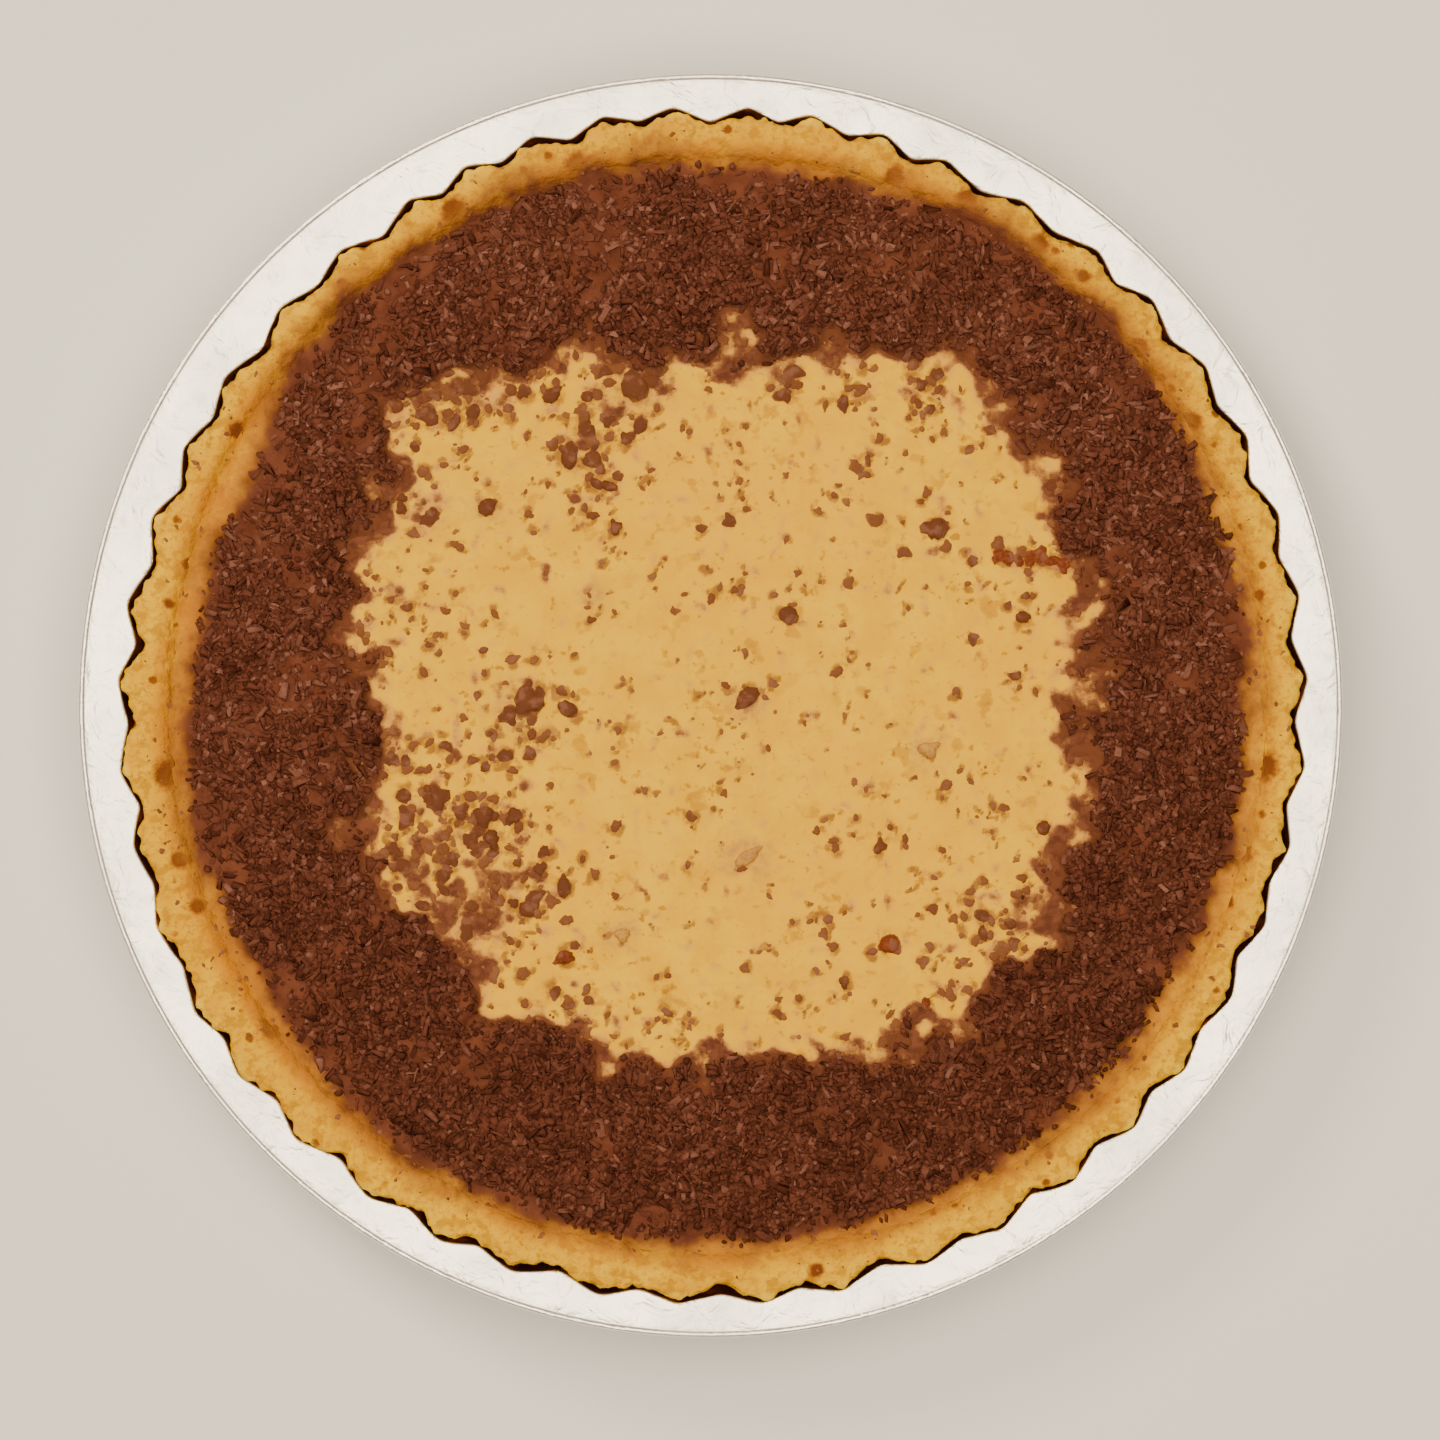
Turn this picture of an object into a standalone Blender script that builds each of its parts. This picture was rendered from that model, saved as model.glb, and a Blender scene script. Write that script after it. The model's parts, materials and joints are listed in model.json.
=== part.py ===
"""A peppermint tart in its fluted foil tin.

Metres, +Z up. The origin is on the floor, under the middle of the tin's flat flange.
The tart itself stands a little towards +X of that middle, as in a tin that was pressed
slightly off centre, and the tin's mouth is pushed a little out of round. Three pieces,
each within the next: the tin, the crust, and the custard filling with its grated chocolate.
"""
import math
import random

import bmesh
import bpy
from mathutils import Euler, Matrix, Vector, noise

# The tin: pressed foil with a fluted wall, a flat flange and a rolled edge.
FLANGE_RADIUS = 0.1265
FLANGE_HEIGHT = 0.0250
ROLL_RADIUS = 0.0007
ROLL_START = FLANGE_RADIUS - 2.2 * ROLL_RADIUS
FOIL = 0.0004
TIN_MOUTH_RADIUS = 0.1190
TIN_FLOOR_RADIUS = 0.1080

# How the mouth is out of round: angle in degrees from +X, and radius of the crests in metres.
MOUTH_EDGE = (
    (0, 0.1181),
    (20, 0.1186),
    (40, 0.1190),
    (62, 0.1179),
    (80, 0.1194),
    (100, 0.1198),
    (124, 0.1181),
    (136, 0.1180),
    (154, 0.1184),
    (172, 0.1196),
    (192, 0.1200),
    (212, 0.1209),
    (240, 0.1204),
    (270, 0.1198),
    (296, 0.1192),
    (316, 0.1186),
    (344, 0.1179),
)

# The flutes: crest and hollow in turn, closer together along the back, no two quite alike.
FLUTE_COUNT = 46
FLUTE_DEPTH = 0.0023
FLOOR_FLUTE_DEPTH = 0.0017
FLUTE_DEPTH_SPREAD = 0.22
CREST_DRIFT = 0.06
FLUTE_SEED = 5
FIRST_CREST = math.radians(2.5)
BACK_START = math.radians(62.0)
BACK_END = math.radians(113.0)
BACK_PITCH_RATIO = 0.86

# The crust: shortcrust pastry, shrunk a little from the tin.
TART_X = 0.0013
CRUST_RADIUS = 0.1180
CRUST_FLOOR_RADIUS = 0.1072
CRUST_TOP = 0.0260
SHOULDER_DROP = 0.0012
CROWN_INSET = 0.0022
CROWN_FLUTE_SHARE = 0.55
RIM_WIDTH = 0.0072
RIM_INSIDE_DROP = 0.0005
RIM_UNEVENNESS = 0.0005
RIPPLES_PER_METRE = 120.0
CRUST_THICKNESS = 0.0050
GAP = 0.0003

# The hollow of the crust, which the filling fills: radii at its top, knuckle and floor.
FILLING_RADIUS = 0.1078
KNUCKLE_RADIUS = 0.1054
KNUCKLE_HEIGHT = 0.0172
INNER_FLOOR_RADIUS = 0.0980
HOLLOW_SPARE = 0.0006

# The filling: set custard, level but for the chocolate that lies round its edge.
CUSTARD_HEIGHT = 0.0230
CUSTARD_UNEVENNESS = 0.0002
BED_THICKNESS = 0.0019
BED_UNEVENNESS = 0.0004
BED_TOE = 0.0015
BED_SLOPE = 0.0050
BED_OUTER_SLOPE = 0.0065
FILLING_COLUMNS = 72

# The inner edge of the chocolate: angle in degrees from +X, and radius in metres.
BED_EDGE = (
    (0, 0.0736),
    (20, 0.0762),
    (44, 0.0795),
    (62, 0.0770),
    (90, 0.0684),
    (112, 0.0730),
    (134, 0.0880),
    (154, 0.0772),
    (180, 0.0704),
    (199, 0.0766),
    (218, 0.0706),
    (238, 0.0760),
    (270, 0.0682),
    (305, 0.0752),
    (333, 0.0734),
    (347, 0.0774),
)

# The larger lumps that lie on the bare custard: x and y from the tart's middle, and length.
LUMPS = (
    (-0.0162, 0.0640, 0.0080),
    (-0.0332, 0.0620, 0.0046),
    (-0.0294, 0.0498, 0.0060),
    (-0.0216, 0.0440, 0.0040),
    (-0.0462, 0.0396, 0.0048),
    (-0.0204, 0.0354, 0.0036),
    (0.0436, 0.0354, 0.0056),
    (0.0142, 0.0180, 0.0048),
    (0.0062, 0.0018, 0.0062),
    (-0.0382, 0.0008, 0.0080),
    (-0.0298, -0.0006, 0.0046),
    (-0.0560, -0.0190, 0.0060),
    (-0.0468, -0.0220, 0.0058),
    (-0.0406, -0.0220, 0.0044),
    (-0.0452, -0.0266, 0.0052),
    (-0.0382, -0.0408, 0.0048),
    (-0.0306, -0.0366, 0.0046),
    (-0.0306, -0.0504, 0.0040),
    (-0.0190, -0.0458, 0.0042),
    (0.0058, -0.0306, 0.0056),
    (0.0346, -0.0476, 0.0046),
    (0.0420, -0.0086, 0.0050),
    (0.0324, -0.0284, 0.0036),
    (0.0254, -0.0552, 0.0034),
    (0.0654, -0.0246, 0.0038),
    (0.0612, 0.0176, 0.0040),
)
LUMP_HEIGHT = 0.0014

# The grated chocolate: how many of each kind, and how long they are.
CURLS = 46
SHARDS = 112
GRANULES = 72
CURL_LENGTHS = (0.0056, 0.0076)
SHARD_LENGTHS = (0.0040, 0.0060)
GRANULE_LENGTHS = (0.0034, 0.0048)
CURL_THICKNESS = 0.0011
PIECE_CLEARANCE = 0.0009
SCATTER_SEED = 11


def clear_scene():
    for existing in list(bpy.data.objects):
        bpy.data.objects.remove(existing, do_unlink=True)


def make_material(name, colour, roughness, metallic=0.0):
    material = bpy.data.materials.new(name)
    material.use_nodes = True
    shader = material.node_tree.nodes["Principled BSDF"]
    shader.inputs["Base Color"].default_value = (*colour, 1.0)
    shader.inputs["Roughness"].default_value = roughness
    shader.inputs["Metallic"].default_value = metallic
    return material


def edge_radius(edge, angle):
    """Radius of a named outline at an angle, eased between its points."""
    degrees = math.degrees(angle) % 360.0
    closed = edge + ((edge[0][0] + 360, edge[0][1]),)
    for (start, near), (end, far) in zip(closed, closed[1:]):
        if start <= degrees <= end:
            part = (degrees - start) / (end - start)
            eased = part * part * (3.0 - 2.0 * part)
            return near + (far - near) * eased
    return edge[0][1]


def crest_angles():
    """The angles of the flutes' crests, closer together along the back of the tin."""
    pitches = []
    angle = FIRST_CREST
    plain_pitch = 2.0 * math.pi / FLUTE_COUNT
    for _ in range(FLUTE_COUNT):
        at_back = BACK_START <= angle < BACK_END
        pitch = plain_pitch * (BACK_PITCH_RATIO if at_back else 1.0)
        pitches.append(pitch)
        angle += pitch
    stretch = 2.0 * math.pi / sum(pitches)
    crests = [FIRST_CREST]
    for pitch in pitches[:-1]:
        crests.append(crests[-1] + pitch * stretch)
    return crests


def flute_columns():
    """Angle and relief of each column of points: relief is 1 on a crest, about 0 in a hollow."""
    draw = random.Random(FLUTE_SEED)
    plain_pitch = 2.0 * math.pi / FLUTE_COUNT
    crests = [angle + draw.uniform(-CREST_DRIFT, CREST_DRIFT) * plain_pitch for angle in crest_angles()]
    columns = []
    for start, end in zip(crests, crests[1:] + [crests[0] + 2.0 * math.pi]):
        columns.append((start, 1.0))
        columns.append((0.5 * (start + end), draw.uniform(-FLUTE_DEPTH_SPREAD, FLUTE_DEPTH_SPREAD)))
    return columns


def fluted_ring(columns, radius, depth, height, centre_x=TART_X, mouth_share=0.0):
    """A ring of points that follows the flutes, radius being that of the crests where they are
    round. The share says how far the ring goes out of round with the mouth."""
    ring = []
    for angle, relief in columns:
        pushed = mouth_share * (edge_radius(MOUTH_EDGE, angle) - TIN_MOUTH_RADIUS)
        reach = radius + pushed - depth * (1.0 - relief)
        ring.append(Vector((centre_x + reach * math.cos(angle), reach * math.sin(angle), height)))
    return ring


def rippled(ring, amount, scale, seed):
    """The same ring with its height made uneven, as a hand-finished pastry edge is."""
    ripple = []
    for point in ring:
        sample = Vector((point.x * scale, point.y * scale, seed))
        ripple.append(Vector((point.x, point.y, point.z + amount * noise.noise(sample))))
    return ripple


def loft(name, rings, collection, material):
    """A closed body from rings of equal length, closed by a fan at the first and last."""
    mesh = bpy.data.meshes.new(name)
    body = bmesh.new()
    loops = [[body.verts.new(point) for point in ring] for ring in rings]
    count = len(loops[0])
    for lower, upper in zip(loops, loops[1:]):
        for column in range(count):
            after = (column + 1) % count
            body.faces.new((lower[column], lower[after], upper[after], upper[column]))
    for loop, outwards in ((loops[0], -1), (loops[-1], 1)):
        middle = Vector((0.0, 0.0, 0.0))
        for vertex in loop:
            middle += vertex.co / count
        hub = body.verts.new(middle)
        for column in range(count):
            pair = (loop[column], loop[(column + 1) % count])
            corners = (hub, *pair) if outwards > 0 else (hub, *reversed(pair))
            body.faces.new(corners)
    bmesh.ops.recalc_face_normals(body, faces=body.faces)
    bmesh.ops.triangulate(body, faces=body.faces)
    body.to_mesh(mesh)
    body.free()
    made = bpy.data.objects.new(name, mesh)
    collection.objects.link(made)
    mesh.materials.append(material)
    mesh.shade_smooth()
    mesh.set_sharp_from_angle(angle=math.radians(40.0))
    return made


def make_tin(collection, material):
    """The foil tin, from the underside of its floor, round the rolled edge, to its floor."""
    columns = flute_columns()
    under_flange = FLANGE_HEIGHT - FOIL
    roll_middle = FLANGE_RADIUS - ROLL_RADIUS

    def outer(radius, height):
        return fluted_ring(columns, radius, 0.0, height, centre_x=0.0)

    rings = [
        fluted_ring(columns, TIN_FLOOR_RADIUS, FLOOR_FLUTE_DEPTH, 0.0),
        fluted_ring(columns, TIN_MOUTH_RADIUS + FOIL, FLUTE_DEPTH, under_flange, mouth_share=1.0),
        outer(ROLL_START, under_flange),
        outer(roll_middle, FLANGE_HEIGHT - 2.0 * ROLL_RADIUS),
        outer(FLANGE_RADIUS, FLANGE_HEIGHT - ROLL_RADIUS + 0.5 * FOIL),
        outer(roll_middle, FLANGE_HEIGHT + FOIL),
        outer(ROLL_START, FLANGE_HEIGHT),
        fluted_ring(columns, TIN_MOUTH_RADIUS, FLUTE_DEPTH, FLANGE_HEIGHT, mouth_share=1.0),
        fluted_ring(columns, TIN_FLOOR_RADIUS - FOIL, FLOOR_FLUTE_DEPTH, FOIL),
    ]
    return loft("tin", rings, collection, material)


def make_crust(collection, material):
    """The pastry case, from its base, up the fluted wall, over the rim and down inside."""
    columns = flute_columns()
    base = FOIL + GAP
    shoulder_height = CRUST_TOP - SHOULDER_DROP
    shoulder = fluted_ring(columns, CRUST_RADIUS, FLUTE_DEPTH, shoulder_height, mouth_share=1.0)
    crown_radius = CRUST_RADIUS - CROWN_INSET
    crown_depth = CROWN_FLUTE_SHARE * FLUTE_DEPTH
    crown = fluted_ring(columns, crown_radius, crown_depth, CRUST_TOP, mouth_share=1.0)
    rim_inside = fluted_ring(columns, CRUST_RADIUS - RIM_WIDTH, 0.0, CRUST_TOP - RIM_INSIDE_DROP)
    rings = [
        fluted_ring(columns, CRUST_FLOOR_RADIUS, FLOOR_FLUTE_DEPTH, base),
        rippled(shoulder, RIM_UNEVENNESS, RIPPLES_PER_METRE, 1.0),
        rippled(crown, RIM_UNEVENNESS, RIPPLES_PER_METRE, 2.0),
        rippled(rim_inside, RIM_UNEVENNESS, RIPPLES_PER_METRE, 3.0),
        fluted_ring(columns, FILLING_RADIUS + HOLLOW_SPARE, 0.0, CUSTARD_HEIGHT + GAP),
        fluted_ring(columns, KNUCKLE_RADIUS, 0.0, KNUCKLE_HEIGHT),
        fluted_ring(columns, INNER_FLOOR_RADIUS, 0.0, base + CRUST_THICKNESS),
    ]
    return loft("crust", rings, collection, material)


def top_height(x, y):
    """Height of the filling at a place given from the tart's middle."""
    radius = math.hypot(x, y)
    edge = edge_radius(BED_EDGE, math.atan2(y, x))
    rise = min(max((radius - edge + BED_TOE) / BED_SLOPE, 0.0), 1.0)
    fall = min(max((FILLING_RADIUS - GAP - radius) / BED_OUTER_SLOPE, 0.0), 1.0)
    lumpy = noise.noise(Vector((x * 160.0, y * 160.0, 4.0)))
    gentle = noise.noise(Vector((x * 28.0, y * 28.0, 9.0)))
    bed = (BED_THICKNESS + BED_UNEVENNESS * lumpy) * min(rise, fall)
    return CUSTARD_HEIGHT + bed + CUSTARD_UNEVENNESS * gentle * fall


def make_filling_core(collection, material):
    """The custard down to the crust's floor, with the bed of chocolate raised on it."""
    turn = 2.0 * math.pi / FILLING_COLUMNS
    angles = [turn * column for column in range(FILLING_COLUMNS)]

    def plain_ring(radius, height):
        return [Vector((TART_X + radius * math.cos(a), radius * math.sin(a), height)) for a in angles]

    def top_ring(radius_at):
        ring = []
        for angle in angles:
            radius = radius_at(angle)
            x = radius * math.cos(angle)
            y = radius * math.sin(angle)
            ring.append(Vector((TART_X + x, y, top_height(x, y))))
        return ring

    floor_height = FOIL + GAP + CRUST_THICKNESS + 1.2 * GAP
    bed_outer = FILLING_RADIUS - BED_OUTER_SLOPE
    bed_inner = BED_SLOPE - BED_TOE
    rings = [
        plain_ring(INNER_FLOOR_RADIUS - GAP, floor_height),
        plain_ring(KNUCKLE_RADIUS - 1.6 * GAP, KNUCKLE_HEIGHT),
        plain_ring(FILLING_RADIUS - GAP, CUSTARD_HEIGHT),
        top_ring(lambda angle: bed_outer),
        top_ring(lambda angle: 0.5 * (bed_outer + edge_radius(BED_EDGE, angle) + bed_inner)),
        top_ring(lambda angle: edge_radius(BED_EDGE, angle) + bed_inner),
        top_ring(lambda angle: edge_radius(BED_EDGE, angle) - BED_TOE),
        top_ring(lambda angle: 0.55 * edge_radius(BED_EDGE, angle)),
    ]
    return loft("filling", rings, collection, material)


def loosened(body, amount, draw):
    """Moves each point of a small piece a little, so that no two pieces are alike."""
    for vertex in body.verts:
        for axis in range(3):
            vertex.co[axis] *= 1.0 + draw.uniform(-amount, amount)


def granule(length, draw):
    body = bmesh.new()
    bmesh.ops.create_icosphere(body, subdivisions=1, radius=0.5)
    loosened(body, 0.18, draw)
    size = (length, length * draw.uniform(0.6, 0.85), length * draw.uniform(0.5, 0.62))
    bmesh.ops.scale(body, vec=size, verts=body.verts)
    return body


def shard(length, draw):
    body = bmesh.new()
    bmesh.ops.create_cube(body, size=1.0)
    loosened(body, 0.30, draw)
    size = (length, length * draw.uniform(0.38, 0.62), length * draw.uniform(0.30, 0.42))
    bmesh.ops.scale(body, vec=size, verts=body.verts)
    return body


def curl(length, draw):
    """A shaving: a flat strip, cut across three times and bent into an arc that arches up."""
    body = bmesh.new()
    bmesh.ops.create_cube(body, size=1.0)
    lengthwise = [edge for edge in body.edges if abs(edge.verts[0].co.x - edge.verts[1].co.x) > 0.5]
    bmesh.ops.subdivide_edges(body, edges=lengthwise, cuts=3, use_grid_fill=True)
    width = length * draw.uniform(0.30, 0.42)
    bmesh.ops.scale(body, vec=(length, width, CURL_THICKNESS), verts=body.verts)
    bend = draw.uniform(1.1, 1.7)
    radius = length / bend
    for vertex in body.verts:
        turn = vertex.co.x / radius
        reach = radius + vertex.co.z
        vertex.co.x = reach * math.sin(turn)
        vertex.co.z = reach * math.cos(turn) - radius
    return body


def lump(length, draw):
    body = bmesh.new()
    bmesh.ops.create_icosphere(body, subdivisions=1, radius=0.5)
    loosened(body, 0.26, draw)
    size = (length, length * draw.uniform(0.55, 0.8), 1.6 * LUMP_HEIGHT)
    bmesh.ops.scale(body, vec=size, verts=body.verts)
    return body


def lay_piece(body, name, place, sink, tilt, draw, core, collection):
    """Turns a small piece about its upright axis, tips it and beds it in the core's top."""
    above = Vector((TART_X + place[0], place[1], 2.0 * CRUST_TOP))
    _, seat, _, _ = core.ray_cast(above, Vector((0.0, 0.0, -1.0)))
    seat.z -= sink
    tip = Euler((draw.uniform(-tilt, tilt), draw.uniform(-tilt, tilt), draw.uniform(0.0, 6.28)))
    body.transform(Matrix.Translation(seat) @ tip.to_matrix().to_4x4())
    bmesh.ops.triangulate(body, faces=body.faces)
    mesh = bpy.data.meshes.new(name)
    body.to_mesh(mesh)
    body.free()
    collection.objects.link(bpy.data.objects.new(name, mesh))


def on_bed(x, y, half):
    """True where a piece of this half length lies wholly on the chocolate bed."""
    radius = math.hypot(x, y)
    inside = edge_radius(BED_EDGE, math.atan2(y, x)) + 0.5 * half
    outside = FILLING_RADIUS - 0.35 * BED_OUTER_SLOPE - half
    return inside < radius < outside


def scatter_chocolate(core, collection):
    """Curls, then shards, then granules, spread evenly over the bed without touching."""
    draw = random.Random(SCATTER_SEED)
    kinds = (
        ("curl", curl, CURLS, CURL_LENGTHS, 0.0002, 0.15),
        ("shard", shard, SHARDS, SHARD_LENGTHS, 0.0000, 0.35),
        ("granule", granule, GRANULES, GRANULE_LENGTHS, 0.0001, 0.50),
    )
    least = min(radius for _, radius in BED_EDGE)
    taken = []
    for label, make, count, lengths, sink, tilt in kinds:
        laid = 0
        for _ in range(60 * count):
            if laid == count:
                break
            length = draw.uniform(*lengths)
            radius = math.sqrt(draw.uniform(least ** 2, FILLING_RADIUS ** 2))
            angle = draw.uniform(0.0, 2.0 * math.pi)
            x = radius * math.cos(angle)
            y = radius * math.sin(angle)
            half = 0.55 * length
            apart = half + PIECE_CLEARANCE
            clear = all(math.hypot(x - a, y - b) > apart + other for a, b, other in taken)
            if clear and on_bed(x, y, half):
                taken.append((x, y, half))
                name = "{}_{:03d}".format(label, laid)
                lay_piece(make(length, draw), name, (x, y), sink, tilt, draw, core, collection)
                laid += 1


def lay_lumps(core, collection):
    draw = random.Random(SCATTER_SEED + 1)
    for index, (x, y, length) in enumerate(LUMPS):
        name = "lump_{:02d}".format(index)
        lay_piece(lump(length, draw), name, (x, y), 0.0001, 0.10, draw, core, collection)


def make_filling(collection, material):
    """The core and all that lies on it, joined into one body."""
    core = make_filling_core(collection, material)
    toppings = bpy.data.collections.new("toppings")
    bpy.context.scene.collection.children.link(toppings)
    bpy.context.view_layer.update()
    scatter_chocolate(core, toppings)
    lay_lumps(core, toppings)
    union = core.modifiers.new("join toppings", 'BOOLEAN')
    union.operation = 'UNION'
    union.operand_type = 'COLLECTION'
    union.collection = toppings
    with bpy.context.temp_override(object=core, active_object=core):
        bpy.ops.object.modifier_apply(modifier=union.name)
    for piece in list(toppings.objects):
        bpy.data.objects.remove(piece, do_unlink=True)
    bpy.data.collections.remove(toppings)
    return core


def main():
    clear_scene()
    tart = bpy.data.collections.new("peppermint tart")
    bpy.context.scene.collection.children.link(tart)
    foil = make_material("foil", (0.80, 0.79, 0.77), 0.35, metallic=1.0)
    pastry = make_material("pastry", (0.78, 0.42, 0.10), 0.70)
    custard = make_material("custard and chocolate", (0.62, 0.36, 0.12), 0.55)
    make_tin(tart, foil)
    make_crust(tart, pastry)
    make_filling(tart, custard)


main()
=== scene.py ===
import json
import math
import random

import bpy
import numpy as np
from mathutils import Euler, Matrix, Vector, noise
from mathutils.bvhtree import BVHTree

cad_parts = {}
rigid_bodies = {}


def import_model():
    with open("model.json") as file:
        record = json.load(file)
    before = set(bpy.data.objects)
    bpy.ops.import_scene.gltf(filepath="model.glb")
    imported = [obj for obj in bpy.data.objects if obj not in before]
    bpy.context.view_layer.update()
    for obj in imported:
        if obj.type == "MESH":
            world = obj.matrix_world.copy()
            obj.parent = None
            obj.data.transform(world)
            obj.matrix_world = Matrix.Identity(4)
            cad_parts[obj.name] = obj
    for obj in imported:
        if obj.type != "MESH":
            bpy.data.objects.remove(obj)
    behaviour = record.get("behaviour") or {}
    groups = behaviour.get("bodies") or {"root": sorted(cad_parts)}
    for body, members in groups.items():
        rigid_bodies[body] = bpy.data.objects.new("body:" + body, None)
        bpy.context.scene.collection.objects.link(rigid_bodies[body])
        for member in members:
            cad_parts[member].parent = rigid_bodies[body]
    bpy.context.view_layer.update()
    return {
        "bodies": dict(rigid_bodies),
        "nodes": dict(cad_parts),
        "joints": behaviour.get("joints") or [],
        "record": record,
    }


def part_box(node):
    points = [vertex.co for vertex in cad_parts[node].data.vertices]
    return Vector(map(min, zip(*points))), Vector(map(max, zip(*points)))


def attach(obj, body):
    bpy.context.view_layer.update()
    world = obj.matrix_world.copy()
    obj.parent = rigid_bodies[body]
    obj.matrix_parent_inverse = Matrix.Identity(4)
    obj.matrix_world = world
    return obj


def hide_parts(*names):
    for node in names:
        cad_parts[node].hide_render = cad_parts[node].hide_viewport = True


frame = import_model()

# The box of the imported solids, kept to set the dressed tart against.
tin_low, tin_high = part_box("tin")

# The tin, in metres. Its flange is round about the origin, its flutes about the tart.
FLANGE_RADIUS = max(tin_high.x, tin_high.y, -tin_low.x, -tin_low.y)
FLANGE_HEIGHT = 0.0250
ROLL_RADIUS = 0.0007
ROLL_START = FLANGE_RADIUS - 2.2 * ROLL_RADIUS
FOIL = 0.0004
TIN_MOUTH_RADIUS = 0.1190
TIN_FLOOR_RADIUS = 0.1080
FLAT_FLOOR_RADIUS = 0.1000
TART_X = 0.0013

# How the mouth is out of round: angle in degrees from +X, and radius of the crests in metres.
MOUTH_EDGE = (
    (0, 0.1181), (20, 0.1186), (40, 0.1190), (62, 0.1179), (80, 0.1194), (100, 0.1198), (124, 0.1181),
    (136, 0.1180), (154, 0.1184), (172, 0.1196), (192, 0.1200), (212, 0.1209), (240, 0.1204),
    (270, 0.1198), (296, 0.1192), (316, 0.1186), (344, 0.1179),
)

# Where the crust has spread towards the tin: middle and half width in degrees, and share.
CLOSE_STRETCHES = ((222.0, 24.0, 1.0), (318.0, 22.0, 1.0), (170.0, 12.0, 0.5))

# The flutes: a zigzag, closer together along the back, no two quite alike.
FLUTE_COUNT = 46
PLAIN_PITCH = math.tau / FLUTE_COUNT
FLUTE_DEPTH = 0.0023
FLOOR_FLUTE_DEPTH = 0.0017
FLUTE_DEPTH_SPREAD = 0.22
CREST_DRIFT = 0.06
FLUTE_SEED = 5
FIRST_CREST = math.radians(2.5)
BACK_START = math.radians(62.0)
BACK_END = math.radians(113.0)
BACK_PITCH_RATIO = 0.86
TIN_STEPS_PER_FLUTE = 20
CRUST_STEPS_PER_FLUTE = 30
CREST_BLUNTNESS = 0.06

# Points closer together than this become one where a turned body closes.
WELD = 0.000003

# The crust, from its shoulder at the tin over the rim to the lip at the custard.
CRUST_RADIUS = 0.1180
RIM_WIDTH = 0.0072
CRUST_FLOOR = FOIL + 0.0003
CRUST_FLOOR_RADIUS = 0.1072
WALL_TOP_RADIUS = 0.1168
WALL_TOP = 0.0205
SHOULDER_HEIGHT = 0.0248
LIP_RADIUS = 0.1078
LIP_HEIGHT = 0.0225

# The custard, level with the lip, and the bed of chocolate that covers its outer part.
CUSTARD_HEIGHT = 0.0230
OPEN_CUSTARD_RADIUS = 0.0930
FILLING_RADIUS = 0.1075
BED_THICKNESS = 0.0019
BED_INNER_RADIUS = 0.0630
BED_OUTER_RADIUS = 0.1098
BED_UNDER = 0.0012
GRATED_RADIUS = 0.1085
BED_COLUMNS = 1040
CUSTARD_CELLS = 300

# What lies above this height belongs to the top of the custard or the bed.
TOP_SIDE = CUSTARD_HEIGHT - 0.0010

# The inner edge of the chocolate: angle in degrees from +X, and radius in metres.
BED_EDGE = (
    (0, 0.0746), (12, 0.0758), (24, 0.0758), (35, 0.0806), (48, 0.0826), (56, 0.0838), (66, 0.0750),
    (73, 0.0762), (80, 0.0708), (90, 0.0734), (104, 0.0714), (112, 0.0774), (120, 0.0758),
    (135, 0.0880), (145, 0.0796), (168, 0.0770), (177, 0.0696), (190, 0.0698), (200, 0.0760),
    (209, 0.0764), (217, 0.0722), (225, 0.0690), (233, 0.0760), (252, 0.0740), (270, 0.0695),
    (284, 0.0725), (300, 0.0790), (312, 0.0800), (323, 0.0786), (330, 0.0800), (337, 0.0728),
    (345, 0.0788), (353, 0.0742),
)

# How far the chocolate's dust reaches up the crust, in the same way.
DUST_EDGE = (
    (0, 0.1074), (20, 0.1084), (42, 0.1116), (60, 0.1124), (80, 0.1088), (102, 0.1116), (125, 0.1108),
    (140, 0.1096), (152, 0.1046), (166, 0.1070), (180, 0.1066), (193, 0.1088), (208, 0.1082),
    (226, 0.1096), (252, 0.1094), (282, 0.1086), (310, 0.1090), (335, 0.1072),
)

# Widths over which the dust and its soft brown veil fade out.
DUST_WIDTH = 0.0076
VEIL_WIDTH = 0.0135

# How toasted the crust is, in the same way, from 0 to 1.
TOAST = (
    (0, 0.05), (40, 0.10), (66, 0.45), (92, 0.60), (118, 0.40), (150, 0.15), (176, 0.35), (200, 0.55),
    (236, 0.35), (270, 0.30), (306, 0.05),
)

# Burnt spots on the crust: x and y from the tart's middle, and radius.
BURNT_SPOTS = (
    (-0.1091, -0.0138, 0.0032), (-0.1074, -0.0309, 0.0017), (-0.1039, -0.0402, 0.0014),
    (-0.0890, -0.0643, 0.0023), (-0.1095, 0.0203, 0.0011), (-0.1056, 0.0286, 0.0013),
    (-0.0959, 0.0550, 0.0017), (-0.0855, 0.0692, 0.0020), (-0.0749, 0.0841, 0.0014),
    (-0.0525, 0.0992, 0.0027), (-0.0278, 0.1081, 0.0023), (0.0353, 0.1059, 0.0022),
    (0.0501, 0.1009, 0.0024), (0.0644, 0.0921, 0.0023), (0.0733, 0.0858, 0.0013),
    (0.0844, 0.0717, 0.0019), (0.0949, 0.0571, 0.0017), (0.1046, 0.0307, 0.0010),
    (0.1084, 0.0221, 0.0011), (0.1095, -0.0121, 0.0028), (0.1054, -0.0294, 0.0018),
    (0.1019, -0.0391, 0.0015), (0.0200, -0.1130, 0.0014),
)

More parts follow.
